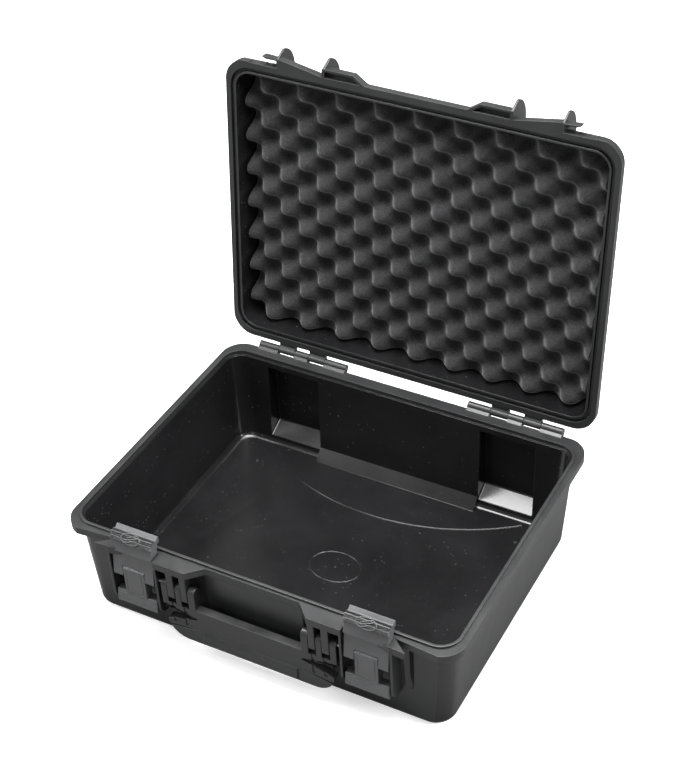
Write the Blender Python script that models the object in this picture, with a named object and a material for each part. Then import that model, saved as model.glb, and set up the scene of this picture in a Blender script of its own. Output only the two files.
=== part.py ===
"""A hard equipment case with a foam-lined lid, two draw latches and a carry handle.

Metres, +Z up. X runs along the front, the front faces -Y, and the origin is on
the surface the case stands on, under the middle of its rim. Every piece is laid
out as in the closed case; an empty on the hinge axis then swings the lid open.
"""

import math

import bmesh
import bpy
from mathutils import Matrix, Vector

CASE = "equipment_case"
GAP = 0.0003                    # clearance between pieces that meet

# Rim, where base and lid meet
RIM_HALF_X = 0.230
RIM_FRONT_Y = -0.1762
RIM_BACK_Y = 0.1760
RIM_Z = 0.122                   # top face of the base rim
RIM_THICKNESS = 0.009
RIM_CORNER = 0.026
LID_RIM_BACK_Y = 0.1702

# Mouth of the lid, inside its inner lip; the other seal lines are grown from it
MOUTH_HALF_X = 0.2175
MOUTH_FRONT_Y = -0.1614
MOUTH_BACK_Y = 0.1559
MOUTH_CORNER = 0.018
LIP_GROW = 0.0022               # outer side of the lid's inner lip
TONGUE_IN_GROW = 0.0030
TONGUE_OUT_GROW = 0.0060
GROOVE_GROW = 0.0068
TONGUE_HEIGHT = 0.003
GROOVE_DEPTH = 0.0052
GASKET_THICKNESS = 0.0015

# Base shell
WALL_GROW = 0.0050              # outer wall at the rim
WALL = 0.0038
FLOOR = 0.0040
BASE_TAPER_SIDE = 0.0080
BASE_TAPER_FRONT = 0.0022
BASE_TAPER_BACK = 0.0070
BASE_BOTTOM_ROUND = 0.009
LEDGE_Z = 0.1195

# Housings under the hinges, each with a pocket that opens into the case
HOUSING_X = (0.1005, 0.1755)
HOUSING_BACK_Y = 0.1755
HOUSING_FOOT_Z = 0.0070
HOUSING_RISE = 0.0100           # from the housing's inner foot to its outer foot
HINGE_POCKET_X = (0.1040, 0.1720)
HINGE_POCKET_BACK_Y = 0.1720
HINGE_POCKET_FOOT_Z = 0.0120
HINGE_POCKET_TOP_Z = 0.1125

# Lid shell
LID_DEPTH = 0.050
LID_WALL = 0.0034
LID_TAPER = 0.0064
LID_CROWN_ROUND = 0.012
LID_RIM_THICKNESS = 0.0092
FOAM_TOP = 0.0115               # from the lid's rim plane to the foam's tips
FOAM_CLEAR = 0.0012             # between the foam and the lid's walls

# Hinge
HINGE_Y = 0.1803
HINGE_Z = 0.1238
LID_OPEN = math.radians(96.4)
KNUCKLE_RADIUS = 0.0045
HINGE_PIN_RADIUS = 0.0015
KNUCKLE_ENDS = (0.0783, 0.1068, 0.1283, 0.1470, 0.1684, 0.1950)

# Front brackets, padlock bosses and latch pockets, as distances from the middle
BRACKET_FRONT_Y = -0.1855
MIDDLE_FRONT_Y = -0.1695
POCKET_BACK_Y = -0.1715
LEDGE_HALF_X = 0.0551
BRACKET_INNER_X = 0.0713
BRACKET_OUTER_X = 0.1100
BOSS_INNER_X = 0.1632
BOSS_OUTER_X = 0.1800
BOSS_END_X = 0.2090
GUARD_THICKNESS = 0.0028
GUARD_FOOT_Z = 0.0440
PADLOCK_X = 0.1775
PADLOCK_Y = -0.1778
PADLOCK_RADIUS = 0.0038

# Lid ears and the fins beside each latch
EAR_WALL = 0.0025
EAR_FLOOR = 0.0022
FIN_REACH_Y = -0.1925
FIN_TIP_RISE = 0.0135
FIN_END_RISE = 0.037
CATCH_HEIGHT = 0.0013

# Carry handle
HANDLE_Y = -0.1795
HANDLE_Z = 0.0925
HANDLE_PIN_RADIUS = 0.0020
KNUCKLE_HANDLE_RADIUS = 0.0055
BRACKET_RIBS = ((0.0713, 0.0790), (0.0867, 0.0952))
BRACKET_RIB_FOOT_Z = 0.0775
HANDLE_FINGERS = ((0.0625, 0.0708), (0.0795, 0.0862), (0.0957, 0.1030))
ARM_TOP_Z = 0.0710
ARM_FRONT_Y = -0.1850
ARM_THICKNESS = 0.0090
GRIP_HALF_X = 0.0545
GRIP_TOP_Z = 0.0445
GRIP_FOOT_Z = 0.0225
ARM_FOOT_Z = 0.0230
GRIP_FRONT_Y = -0.1870
GRIP_DEPTH = 0.0160
ARM_OUTER_TOP_X = 0.1026
ARM_OUTER_LOW_X = 0.0990
ARM_CORNER = 0.0230

# Latches
LATCH_X = 0.13665               # middle of each latch
LATCH_HALF_WIDTH = 0.02485
LEVER_Y = -0.1752
LEVER_Z = 0.1005
LINK_Y = -0.1768
LINK_Z = 0.0900
LATCH_PIN_RADIUS = 0.0016
LEVER_KNUCKLE_RADIUS = 0.0042
TONGUE_HALF_WIDTH = 0.0131
LEVER_FRONT_Y = -0.1850
LEVER_BACK_Y = -0.1745
LEVER_FOOT_Z = 0.0455
LEVER_SHOULDER_Z = 0.0620
LEVER_TOP_Z = 0.0985
HOOK_LEG_Z = 0.0858
HOOK_WINDOW_Z = 0.0995
HOOK_TOP_Z = 0.1412
HOOK_BACK_Y = -0.1655
HOOK_THICKNESS = 0.0028
HOOK_LIP_Z = 0.1332
HOOK_LIP_DEPTH = 0.0040

ROUND = 16                      # sides of a pin or a pin hole
PLASTIC = (0.030, 0.031, 0.032, 1.0)


def clear_scene():
    for obj in list(bpy.data.objects):
        bpy.data.objects.remove(obj, do_unlink=True)


def new_collection(name, hidden=False):
    collection = bpy.data.collections.new(name)
    bpy.context.scene.collection.children.link(collection)
    collection.hide_render = hidden
    return collection


def material(name, colour, roughness, metallic=0.0):
    made = bpy.data.materials.new(name)
    made.use_nodes = True
    shader = made.node_tree.nodes["Principled BSDF"]
    shader.inputs["Base Color"].default_value = colour
    shader.inputs["Roughness"].default_value = roughness
    shader.inputs["Metallic"].default_value = metallic
    return made


class Workshop:
    """Keeps the finished parts and the helper shapes in their two collections."""

    def __init__(self):
        self.parts = new_collection(CASE)
        self.helpers = new_collection("cutters", hidden=True)
        self.lid_turn = bpy.data.objects.new("lid_swing", None)
        self.lid_turn.location = (0.0, HINGE_Y, HINGE_Z)
        self.parts.objects.link(self.lid_turn)
        bpy.context.view_layer.update()

    def add(self, name, mesh, helper):
        obj = bpy.data.objects.new(name, mesh)
        (self.helpers if helper else self.parts).objects.link(obj)
        if helper:
            obj.hide_render = True
            obj.display_type = "WIRE"
        return obj

    def boolean(self, target, operation, others):
        for other in others:
            modifier = target.modifiers.new(other.name, "BOOLEAN")
            modifier.operation = operation
            modifier.solver = "EXACT"
            modifier.object = other

    def finish(self, obj, finish, pivot=(0.0, 0.0, 0.0), on_lid=False):
        """Gives a part its material, its origin on its pivot, and the lid's swing if it is on the lid."""
        obj.data.materials.append(finish)
        obj.data.shade_smooth()
        obj.data.set_sharp_from_angle(angle=math.radians(30))
        obj.data.transform(Matrix.Translation(-Vector(pivot)))
        obj.location = pivot
        if on_lid:
            self.hang_on_lid(obj)
        return obj

    def hang_on_lid(self, obj):
        obj.parent = self.lid_turn
        obj.matrix_parent_inverse = Matrix.Translation((0.0, -HINGE_Y, -HINGE_Z))


def mesh_from(bm, name):
    mesh = bpy.data.meshes.new(name)
    bm.to_mesh(mesh)
    bm.free()
    return mesh


def rectangle(half_x, front, back, grow=0.0):
    return (half_x + grow, front - grow, back + grow)


def mouth(grow, side=0.0, front=0.0, back=0.0):
    """The mouth's rectangle grown outwards, then drawn in at its sides, front and back."""
    return (
        MOUTH_HALF_X + grow - side,
        MOUTH_FRONT_Y - grow + front,
        MOUTH_BACK_Y + grow - back,
    )


def frustum(low_rect, high_rect, low_z, high_z, corner, steps=5, low_round=0.0, high_round=0.0):
    """A block with rounded upright corners, tapering between two rectangles (half x, front, back)."""
    bm = bmesh.new()
    bmesh.ops.create_cube(bm, size=2.0)
    for vert in bm.verts:
        half_x, front, back = high_rect if vert.co.z > 0 else low_rect
        vert.co = (
            math.copysign(half_x, vert.co.x),
            back if vert.co.y > 0 else front,
            high_z if vert.co.z > 0 else low_z,
        )
    upright = [edge for edge in bm.edges if edge.verts[0].co.z != edge.verts[1].co.z]
    bmesh.ops.bevel(
        bm, geom=upright, offset=corner, segments=steps, profile=0.5, affect="EDGES"
    )
    for level, width in ((low_z, low_round), (high_z, high_round)):
        if width:
            ring = [e for e in bm.edges if all(abs(v.co.z - level) < 1e-6 for v in e.verts)]
            bmesh.ops.bevel(
                bm, geom=ring, offset=width, segments=3, profile=0.5, affect="EDGES"
            )
    bmesh.ops.recalc_face_normals(bm, faces=bm.faces)
    return mesh_from(bm, "block")


def box(low, high):
    bm = bmesh.new()
    bmesh.ops.create_cube(bm, size=1.0)
    low, high = Vector(low), Vector(high)
    size = high - low
    bmesh.ops.scale(bm, vec=size, verts=bm.verts)
    bmesh.ops.translate(bm, vec=(low + high) / 2, verts=bm.verts)
    return mesh_from(bm, "box")


def cylinder_x(x_low, x_high, y, z, radius, sides=ROUND):
    bm = bmesh.new()
    bmesh.ops.create_cone(
        bm,
        cap_ends=True,
        segments=sides,
        radius1=radius,
        radius2=radius,
        depth=x_high - x_low,
    )
    bmesh.ops.rotate(bm, matrix=Matrix.Rotation(math.pi / 2, 3, "Y"), verts=bm.verts)
    bmesh.ops.translate(bm, vec=((x_low + x_high) / 2, y, z), verts=bm.verts)
    return mesh_from(bm, "cylinder")


def cylinder_z(x, y, low, high, radius, sides=ROUND):
    bm = bmesh.new()
    bmesh.ops.create_cone(
        bm, cap_ends=True, segments=sides, radius1=radius, radius2=radius, depth=high - low
    )
    bmesh.ops.translate(bm, vec=(x, y, (low + high) / 2), verts=bm.verts)
    return mesh_from(bm, "cylinder")


def plate(outline, low, high, turn=None):
    """A closed flat outline made solid from low to high along the axis it is drawn across."""
    curve = bpy.data.curves.new("outline", "CURVE")
    curve.dimensions = "2D"
    curve.fill_mode = "BOTH"
    curve.extrude = (high - low) / 2
    spline = curve.splines.new("POLY")
    spline.points.add(len(outline) - 1)
    for point, place in zip(spline.points, outline):
        point.co = (place[0], place[1], 0.0, 1.0)
    spline.use_cyclic_u = True
    source = bpy.data.objects.new("outline", curve)
    bpy.context.scene.collection.objects.link(source)
    graph = bpy.context.evaluated_depsgraph_get()
    mesh = bpy.data.meshes.new_from_object(source.evaluated_get(graph))
    bpy.data.objects.remove(source)
    bm = bmesh.new()
    bm.from_mesh(mesh)
    bmesh.ops.remove_doubles(bm, verts=bm.verts, dist=1e-6)
    bmesh.ops.translate(bm, vec=(0.0, 0.0, (low + high) / 2), verts=bm.verts)
    bmesh.ops.recalc_face_normals(bm, faces=bm.faces)
    if turn:
        bmesh.ops.transform(bm, matrix=turn, verts=bm.verts)
    return mesh_from(bm, "plate")


# Turns a plate drawn in (y, z) so that its thickness runs along X
ALONG_X = Matrix(((0, 0, 1, 0), (1, 0, 0, 0), (0, 1, 0, 0), (0, 0, 0, 1)))
# Turns a plate drawn in (x, z) so that its thickness runs along -Y
ALONG_Y = Matrix(((1, 0, 0, 0), (0, 0, -1, 0), (0, 1, 0, 0), (0, 0, 0, 1)))


def arc(centre, radius, start, end, steps):
    """Points on a circle, from one angle in degrees to another."""
    points = []
    for step in range(steps + 1):
        angle = math.radians(start + (end - start) * step / steps)
        points.append(
            (centre[0] + radius * math.cos(angle), centre[1] + radius * math.sin(angle))
        )
    return points


def mirrored(right_half):
    """An outline from its right half, which runs from the front middle round to the back middle."""
    return right_half + [(-x, y) for x, y in reversed(right_half)]


def rim_corners(back):
    """The right side of a rim, with its front and back corners rounded."""
    x = RIM_HALF_X - RIM_CORNER
    front_corner = arc((x, RIM_FRONT_Y + RIM_CORNER), RIM_CORNER, -75, 0, 6)
    back_corner = arc((x, back - RIM_CORNER), RIM_CORNER, 0, 90, 6)
    return front_corner + back_corner


def base_rim_outline():
    return mirrored(
        [
            (LEDGE_HALF_X, MIDDLE_FRONT_Y),
            (BRACKET_INNER_X, BRACKET_FRONT_Y),
            (BRACKET_OUTER_X, BRACKET_FRONT_Y),
            (BRACKET_OUTER_X, POCKET_BACK_Y),
            (BOSS_INNER_X, POCKET_BACK_Y),
            (BOSS_INNER_X, BRACKET_FRONT_Y),
            (BOSS_OUTER_X, BRACKET_FRONT_Y),
        ]
        + rim_corners(RIM_BACK_Y)
    )


def lid_rim_outline():
    return mirrored(
        [
            (LEDGE_HALF_X + 0.004, RIM_FRONT_Y),
            (BRACKET_INNER_X + 0.002, BRACKET_FRONT_Y),
            (BRACKET_OUTER_X + 0.0005, BRACKET_FRONT_Y),
            (BRACKET_OUTER_X + 0.0005, RIM_FRONT_Y),
            (BOSS_INNER_X, RIM_FRONT_Y),
            (BOSS_INNER_X, BRACKET_FRONT_Y),
            (BOSS_OUTER_X + 0.003, BRACKET_FRONT_Y),
        ]
        + rim_corners(LID_RIM_BACK_Y)
    )


def base_knuckle_outline():
    """A base hinge knuckle in (y, z): a barrel carried on an arm from the rim."""
    barrel = arc((HINGE_Y, HINGE_Z), KNUCKLE_RADIUS, -35, 190, 10)
    foot = RIM_Z - RIM_THICKNESS + 0.0005
    return barrel + [(0.1715, RIM_Z - 0.0003), (0.1715, foot), (0.1780, foot)]


def lid_knuckle_outline():
    """A lid hinge knuckle in (y, z) on the closed case."""
    barrel = arc((HINGE_Y, HINGE_Z), KNUCKLE_RADIUS, -150, 90, 10)
    low = HINGE_Z - 0.0007
    return barrel + [(0.1685, HINGE_Z + KNUCKLE_RADIUS), (0.1685, low), (0.1740, low)]


def guard_outline():
    """A latch guard wall in (y, z), rounded where it runs back into the front wall."""
    radius = 0.013
    inner = -0.1642
    foot = arc((BRACKET_FRONT_Y + radius, GUARD_FOOT_Z + radius), radius, 180, 255, 5)
    top = RIM_Z - 0.002
    return [(inner, top), (BRACKET_FRONT_Y, top)] + foot + [(inner, GUARD_FOOT_Z - 0.002)]


def fin_outline():
    """A lid fin in (y, z) on the closed case: it swells past the ear, then curves back to the lid."""
    low = RIM_Z + GAP
    inner = MOUTH_FRONT_Y - 0.0025
    tip = low + FIN_TIP_RISE
    reach = low + FIN_END_RISE - tip
    back = [
        (
            inner + (FIN_REACH_Y - inner) * math.cos(step * math.pi / 16),
            tip + reach * math.sin(step * math.pi / 16),
        )
        for step in range(8)
    ]
    return [(inner, low), (BRACKET_FRONT_Y, low)] + back + [(inner + 0.004, low + FIN_END_RISE)]


def housing_outline():
    """A hinge housing in (y, z), with a foot that slopes up to the back."""
    return [
        (0.1500, RIM_Z - 0.0035),
        (0.1500, HOUSING_FOOT_Z),
        (0.1545, HOUSING_FOOT_Z),
        (HOUSING_BACK_Y, HOUSING_FOOT_Z + HOUSING_RISE),
        (HOUSING_BACK_Y, RIM_Z - 0.0035),
    ]


def pocket_outline():
    """The pocket inside a hinge housing in (y, z), from inside the case to the housing's back wall."""
    return [
        (0.1440, HINGE_POCKET_TOP_Z),
        (0.1440, HINGE_POCKET_FOOT_Z),
        (0.1510, HINGE_POCKET_FOOT_Z),
        (HINGE_POCKET_BACK_Y, HINGE_POCKET_FOOT_Z + HOUSING_RISE),
        (HINGE_POCKET_BACK_Y, HINGE_POCKET_TOP_Z),
    ]


def base_shell(shop, finish):
    side, front, back = BASE_TAPER_SIDE, BASE_TAPER_FRONT, BASE_TAPER_BACK
    under_rim = RIM_Z - 0.003
    body = shop.add(
        "base_shell",
        frustum(
            mouth(WALL_GROW, side, front, back),
            mouth(WALL_GROW),
            0.0,
            under_rim,
            MOUTH_CORNER + WALL_GROW,
            low_round=BASE_BOTTOM_ROUND,
        ),
        helper=False,
    )
    joined = [
        plate(base_rim_outline(), RIM_Z - RIM_THICKNESS, RIM_Z),
        frustum(
            mouth(TONGUE_OUT_GROW),
            mouth(TONGUE_OUT_GROW),
            RIM_Z - 0.004,
            RIM_Z + TONGUE_HEIGHT,
            MOUTH_CORNER + TONGUE_OUT_GROW,
        ),
    ]
    joined += [mesh for sign in (-1, 1) for mesh in front_fittings(sign)]
    for sign in (-1, 1):
        joined += hinge_knuckles(sign, (0, 2, 4), base_knuckle_outline())
        joined.append(plate(housing_outline(), *span(sign, *HOUSING_X), turn=ALONG_X))
    shop.boolean(body, "UNION", [shop.add("base_add", mesh, True) for mesh in joined])

    inner = WALL_GROW - WALL
    cuts = [
        frustum(
            mouth(inner, side, front, back),
            mouth(inner),
            FLOOR,
            RIM_Z + 0.01,
            MOUTH_CORNER + inner,
            low_round=BASE_BOTTOM_ROUND - 0.002,
        ),
        frustum(
            mouth(TONGUE_IN_GROW),
            mouth(TONGUE_IN_GROW),
            LEDGE_Z,
            RIM_Z + 0.01,
            MOUTH_CORNER + TONGUE_IN_GROW,
        ),
    ]
    for sign in (-1, 1):
        cuts += base_holes(sign)
        cuts.append(plate(pocket_outline(), *span(sign, *HINGE_POCKET_X), turn=ALONG_X))
    shop.boolean(body, "DIFFERENCE", [shop.add("base_cut", mesh, True) for mesh in cuts])
    return shop.finish(body, finish)


def span(sign, low, high):
    """The x range from low to high on the right, or its mirror image on the left."""
    return (low, high) if sign > 0 else (-high, -low)


def front_fittings(sign):
    """Guard walls and bracket ribs on one side of the front wall."""
    meshes = []
    guards = (
        (BRACKET_OUTER_X - GUARD_THICKNESS, BRACKET_OUTER_X),
        (BOSS_INNER_X, BOSS_INNER_X + GUARD_THICKNESS),
    )
    for low, high in guards:
        meshes.append(plate(guard_outline(), *span(sign, low, high), turn=ALONG_X))
    for low, high in BRACKET_RIBS:
        x_low, x_high = span(sign, low, high)
        meshes.append(
            box((x_low, BRACKET_FRONT_Y, BRACKET_RIB_FOOT_Z), (x_high, -0.1642, RIM_Z - 0.002))
        )
    return meshes


def hinge_knuckles(sign, which, outline):
    meshes = []
    for index in which:
        low, high = KNUCKLE_ENDS[index] + GAP, KNUCKLE_ENDS[index + 1] - GAP
        meshes.append(plate(outline, *span(sign, low, high), turn=ALONG_X))
    return meshes


def base_holes(sign):
    """Pin holes, padlock hole and knuckle clearances on one side of the base."""
    meshes = [
        cylinder_x(
            *span(sign, KNUCKLE_ENDS[0] - 0.002, KNUCKLE_ENDS[5] + 0.002),
            HINGE_Y,
            HINGE_Z,
            HINGE_PIN_RADIUS + GAP,
        ),
        cylinder_x(
            *span(sign, BRACKET_INNER_X - 0.002, BRACKET_OUTER_X - 0.0012),
            HANDLE_Y,
            HANDLE_Z,
            HANDLE_PIN_RADIUS + GAP,
        ),
        cylinder_x(
            *span(sign, BRACKET_OUTER_X - GUARD_THICKNESS - 0.001, BOSS_INNER_X + GUARD_THICKNESS + 0.001),
            LEVER_Y,
            LEVER_Z,
            LATCH_PIN_RADIUS + GAP,
        ),
        cylinder_z(
            sign * PADLOCK_X, PADLOCK_Y, RIM_Z - 0.02, RIM_Z + 0.005, PADLOCK_RADIUS
        ),
    ]
    for index in (1, 3):
        low, high = KNUCKLE_ENDS[index] - GAP, KNUCKLE_ENDS[index + 1] + GAP
        x_low, x_high = span(sign, low, high)
        meshes.append(box((x_low, 0.1745, 0.10), (x_high, 0.19, RIM_Z + 0.002)))
    return meshes


def lid_inside(height, clear=0.0):
    """The lid's inner rectangle at a height above its rim plane."""
    inset = LID_TAPER * height / LID_DEPTH + clear
    return mouth(0.0, inset, inset, inset)


def lid_shell(shop, finish):
    low = RIM_Z + GAP
    high = low + LID_DEPTH
    body = shop.add(
        "lid_shell",
        frustum(
            mouth(WALL_GROW),
            mouth(WALL_GROW, LID_TAPER, LID_TAPER, LID_TAPER),
            low,
            high,
            MOUTH_CORNER + WALL_GROW,
            high_round=LID_CROWN_ROUND,
        ),
        helper=False,
    )
    joined = [plate(lid_rim_outline(), low, low + LID_RIM_THICKNESS)]
    for sign in (-1, 1):
        for start, end in (
            (BRACKET_OUTER_X - GUARD_THICKNESS, BRACKET_OUTER_X + 0.0005),
            (BOSS_INNER_X, BOSS_INNER_X + GUARD_THICKNESS),
        ):
            joined.append(plate(fin_outline(), *span(sign, start, end), turn=ALONG_X))
        joined += hinge_knuckles(sign, (1, 3), lid_knuckle_outline())
        x_low, x_high = span(sign, BRACKET_OUTER_X + 0.0003, BOSS_INNER_X + 0.0002)
        catch_top = low + LID_RIM_THICKNESS + CATCH_HEIGHT
        joined.append(
            box((x_low, RIM_FRONT_Y, catch_top - 0.004), (x_high, RIM_FRONT_Y + 0.0025, catch_top))
        )
    shop.boolean(body, "UNION", [shop.add("lid_add", mesh, True) for mesh in joined])

    cuts = [
        frustum(
            lid_inside(-0.01),
            lid_inside(LID_DEPTH - LID_WALL),
            low - 0.01,
            high - LID_WALL,
            MOUTH_CORNER,
            high_round=LID_CROWN_ROUND - 0.002,
        )
    ]
    for sign in (-1, 1):
        cuts += lid_holes(sign, low)
    helpers = [shop.add("lid_cut", mesh, True) for mesh in cuts]
    helpers.append(seal_groove(shop, low))
    shop.boolean(body, "DIFFERENCE", helpers)
    for helper in shop.helpers.objects:
        if helper.name.startswith("lid_"):
            shop.hang_on_lid(helper)
    return shop.finish(body, finish, (0.0, HINGE_Y, HINGE_Z), on_lid=True)


def seal_groove(shop, low):
    """The ring that the tongue and the gasket sit in, as a cutter."""
    ring = shop.add(
        "lid_groove",
        frustum(
            mouth(GROOVE_GROW), mouth(GROOVE_GROW), low - 0.002, low + GROOVE_DEPTH, MOUTH_CORNER + GROOVE_GROW
        ),
        helper=True,
    )
    core = shop.add(
        "lid_groove_core",
        frustum(mouth(LIP_GROW), mouth(LIP_GROW), low - 0.004, low + 0.02, MOUTH_CORNER + LIP_GROW),
        helper=True,
    )
    shop.boolean(ring, "DIFFERENCE", [core])
    return ring


def lid_holes(sign, low):
    """Ear pockets, padlock hole and hinge pin hole on one side of the lid."""
    wall_y = BRACKET_FRONT_Y + EAR_WALL
    outer = [
        (BOSS_INNER_X + EAR_WALL, -0.1745),
        (BOSS_INNER_X + EAR_WALL, wall_y),
        (BOSS_OUTER_X + 0.0025, wall_y),
        (0.2010, -0.1748),
    ]
    inner = [
        (BRACKET_OUTER_X - GUARD_THICKNESS, -0.1760),
        (BRACKET_OUTER_X - GUARD_THICKNESS, wall_y),
        (BRACKET_INNER_X + 0.0035, wall_y),
        (LEDGE_HALF_X + 0.0095, -0.1763),
    ]
    top = low + LID_RIM_THICKNESS - EAR_FLOOR
    meshes = [
        plate([(sign * x, y) for x, y in outline], low - 0.005, top) for outline in (outer, inner)
    ]
    meshes.append(
        cylinder_z(sign * PADLOCK_X, PADLOCK_Y - 0.0005, low, low + 0.02, PADLOCK_RADIUS)
    )
    meshes.append(
        cylinder_x(
            *span(sign, KNUCKLE_ENDS[0] - 0.002, KNUCKLE_ENDS[5] + 0.002),
            HINGE_Y,
            HINGE_Z,
            HINGE_PIN_RADIUS + GAP,
        )
    )
    return meshes


def lid_gasket(shop, finish):
    top = RIM_Z + GAP + GROOVE_DEPTH - GAP
    low = top - GASKET_THICKNESS
    inner, outer = LIP_GROW + 0.0006, GROOVE_GROW - 0.0006
    body = shop.add(
        "lid_gasket",
        frustum(mouth(outer), mouth(outer), low, top, MOUTH_CORNER + outer),
        helper=False,
    )
    core = shop.add(
        "lid_gasket_core",
        frustum(mouth(inner), mouth(inner), low - 0.01, top + 0.01, MOUTH_CORNER + inner),
        helper=True,
    )
    shop.boolean(body, "DIFFERENCE", [core])
    shop.hang_on_lid(core)
    return shop.finish(body, finish, (0.0, HINGE_Y, HINGE_Z), on_lid=True)


def lid_foam(shop, finish):
    low = RIM_Z + GAP + FOAM_TOP
    high = RIM_Z + GAP + LID_DEPTH - LID_WALL - 0.0005
    body = shop.add(
        "lid_foam",
        frustum(
            lid_inside(FOAM_TOP, FOAM_CLEAR),
            lid_inside(LID_DEPTH - LID_WALL - 0.0005, FOAM_CLEAR),
            low,
            high,
            MOUTH_CORNER,
            steps=4,
            high_round=LID_CROWN_ROUND - 0.002,
        ),
        helper=False,
    )
    return shop.finish(body, finish, (0.0, HINGE_Y, HINGE_Z), on_lid=True)


def hinge_pin(shop, side, sign, finish):
    x_low, x_high = span(sign, KNUCKLE_ENDS[0] + 0.0006, KNUCKLE_ENDS[5] - 0.0006)
    pin = shop.add(
        f"hinge_pin_{side}", cylinder_x(x_low, x_high, HINGE_Y, HINGE_Z, HINGE_PIN_RADIUS), False
    )
    return shop.finish(pin, finish, ((x_low + x_high) / 2, HINGE_Y, HINGE_Z))


def handle_outline():
    """The handle's flat U in (x, z), below the tops of its arms."""
    corner = (ARM_OUTER_LOW_X - ARM_CORNER, ARM_FOOT_Z + ARM_CORNER)
    right = (
        arc(corner, ARM_CORNER, -90, 0, 6)
        + [
            (ARM_OUTER_TOP_X - 0.0015, ARM_TOP_Z - 0.008),
            (ARM_OUTER_TOP_X, ARM_TOP_Z),
            (HANDLE_FINGERS[0][0] - 0.0002, ARM_TOP_Z),
            (HANDLE_FINGERS[0][0] - 0.0002, 0.058),
            (GRIP_HALF_X, GRIP_TOP_Z - 0.0006),
        ]
    )
    return right + [(-x, z) for x, z in reversed(right)]


def carry_handle(shop, finish):
    body = shop.add(
        "carry_handle",
        plate(handle_outline(), -(ARM_FRONT_Y + ARM_THICKNESS), -ARM_FRONT_Y, turn=ALONG_Y),
        helper=False,
    )
    joined = [handle_grip_block()]
    cuts = []
    arm_back = ARM_FRONT_Y + ARM_THICKNESS
    for sign in (-1, 1):
        for low, high in HANDLE_FINGERS:
            top = arc((HANDLE_Y, HANDLE_Z), KNUCKLE_HANDLE_RADIUS, 180, 0, 8)
            outline = top + [
                (arm_back, HANDLE_Z - 0.006),
                (arm_back, ARM_TOP_Z + 0.001),
                (arm_back - 0.001, ARM_TOP_Z - 0.004),
                (ARM_FRONT_Y + 0.001, ARM_TOP_Z - 0.004),
                (ARM_FRONT_Y, ARM_TOP_Z + 0.001),
            ]
            joined.append(plate(outline, *span(sign, low, high), turn=ALONG_X))
        cuts.append(
            cylinder_x(
                *span(sign, HANDLE_FINGERS[0][0] + 0.0015, HANDLE_FINGERS[2][1] + 0.002),
                HANDLE_Y,
                HANDLE_Z,
                HANDLE_PIN_RADIUS + GAP,
            )
        )
    shop.boolean(body, "UNION", [shop.add("handle_add", mesh, True) for mesh in joined])
    shop.boolean(body, "DIFFERENCE", [shop.add("handle_cut", mesh, True) for mesh in cuts])
    return shop.finish(body, finish, (0.0, HANDLE_Y, HANDLE_Z))


def handle_grip_block():
    """The grip between the arms, with its long edges rounded for the hand."""
    bm = bmesh.new()
    bmesh.ops.create_cube(bm, size=1.0)
    half = GRIP_HALF_X + 0.002
    size = (2 * half, GRIP_DEPTH, GRIP_TOP_Z - GRIP_FOOT_Z)
    bmesh.ops.scale(bm, vec=size, verts=bm.verts)
    middle = (0.0, GRIP_FRONT_Y + GRIP_DEPTH / 2, (GRIP_TOP_Z + GRIP_FOOT_Z) / 2)
    bmesh.ops.translate(bm, vec=middle, verts=bm.verts)
    long_edges = [e for e in bm.edges if abs(e.verts[0].co.x - e.verts[1].co.x) > half]
    bmesh.ops.bevel(bm, geom=long_edges, offset=0.005, segments=3, profile=0.5, affect="EDGES")
    return mesh_from(bm, "grip")


def handle_pin(shop, side, sign, finish):
    x_low, x_high = span(sign, HANDLE_FINGERS[0][0] + 0.0020, BRACKET_OUTER_X - 0.0016)
    pin = shop.add(
        f"handle_pin_{side}", cylinder_x(x_low, x_high, HANDLE_Y, HANDLE_Z, HANDLE_PIN_RADIUS), False
    )
    return shop.finish(pin, finish, ((x_low + x_high) / 2, HANDLE_Y, HANDLE_Z))


def lever_foot_outline():
    """The lever's wide foot in (y, z), lipped forward at its lower edge for the fingers."""
    return [
        (LEVER_BACK_Y, LEVER_SHOULDER_Z),
        (LEVER_FRONT_Y + 0.0012, LEVER_SHOULDER_Z),
        (LEVER_FRONT_Y, LEVER_SHOULDER_Z - 0.002),
        (LEVER_FRONT_Y - 0.0012, LEVER_FOOT_Z + 0.002),
        (LEVER_FRONT_Y - 0.0006, LEVER_FOOT_Z),
        (LEVER_BACK_Y - 0.002, LEVER_FOOT_Z),
        (LEVER_BACK_Y, LEVER_FOOT_Z + 0.002),
    ]


def lever_tongue_outline():
    """The lever's tongue in (y, z), with its knuckle round the pivot behind its top edge."""
    knuckle = arc((LEVER_Y, LEVER_Z), LEVER_KNUCKLE_RADIUS, -60, 150, 9)
    return knuckle + [
        (LEVER_FRONT_Y + 0.0035, LEVER_TOP_Z),
        (LEVER_FRONT_Y + 0.0005, LEVER_TOP_Z - 0.002),
        (LEVER_FRONT_Y, LEVER_SHOULDER_Z - 0.004),
        (LEVER_BACK_Y, LEVER_SHOULDER_Z - 0.004),
    ]


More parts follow.
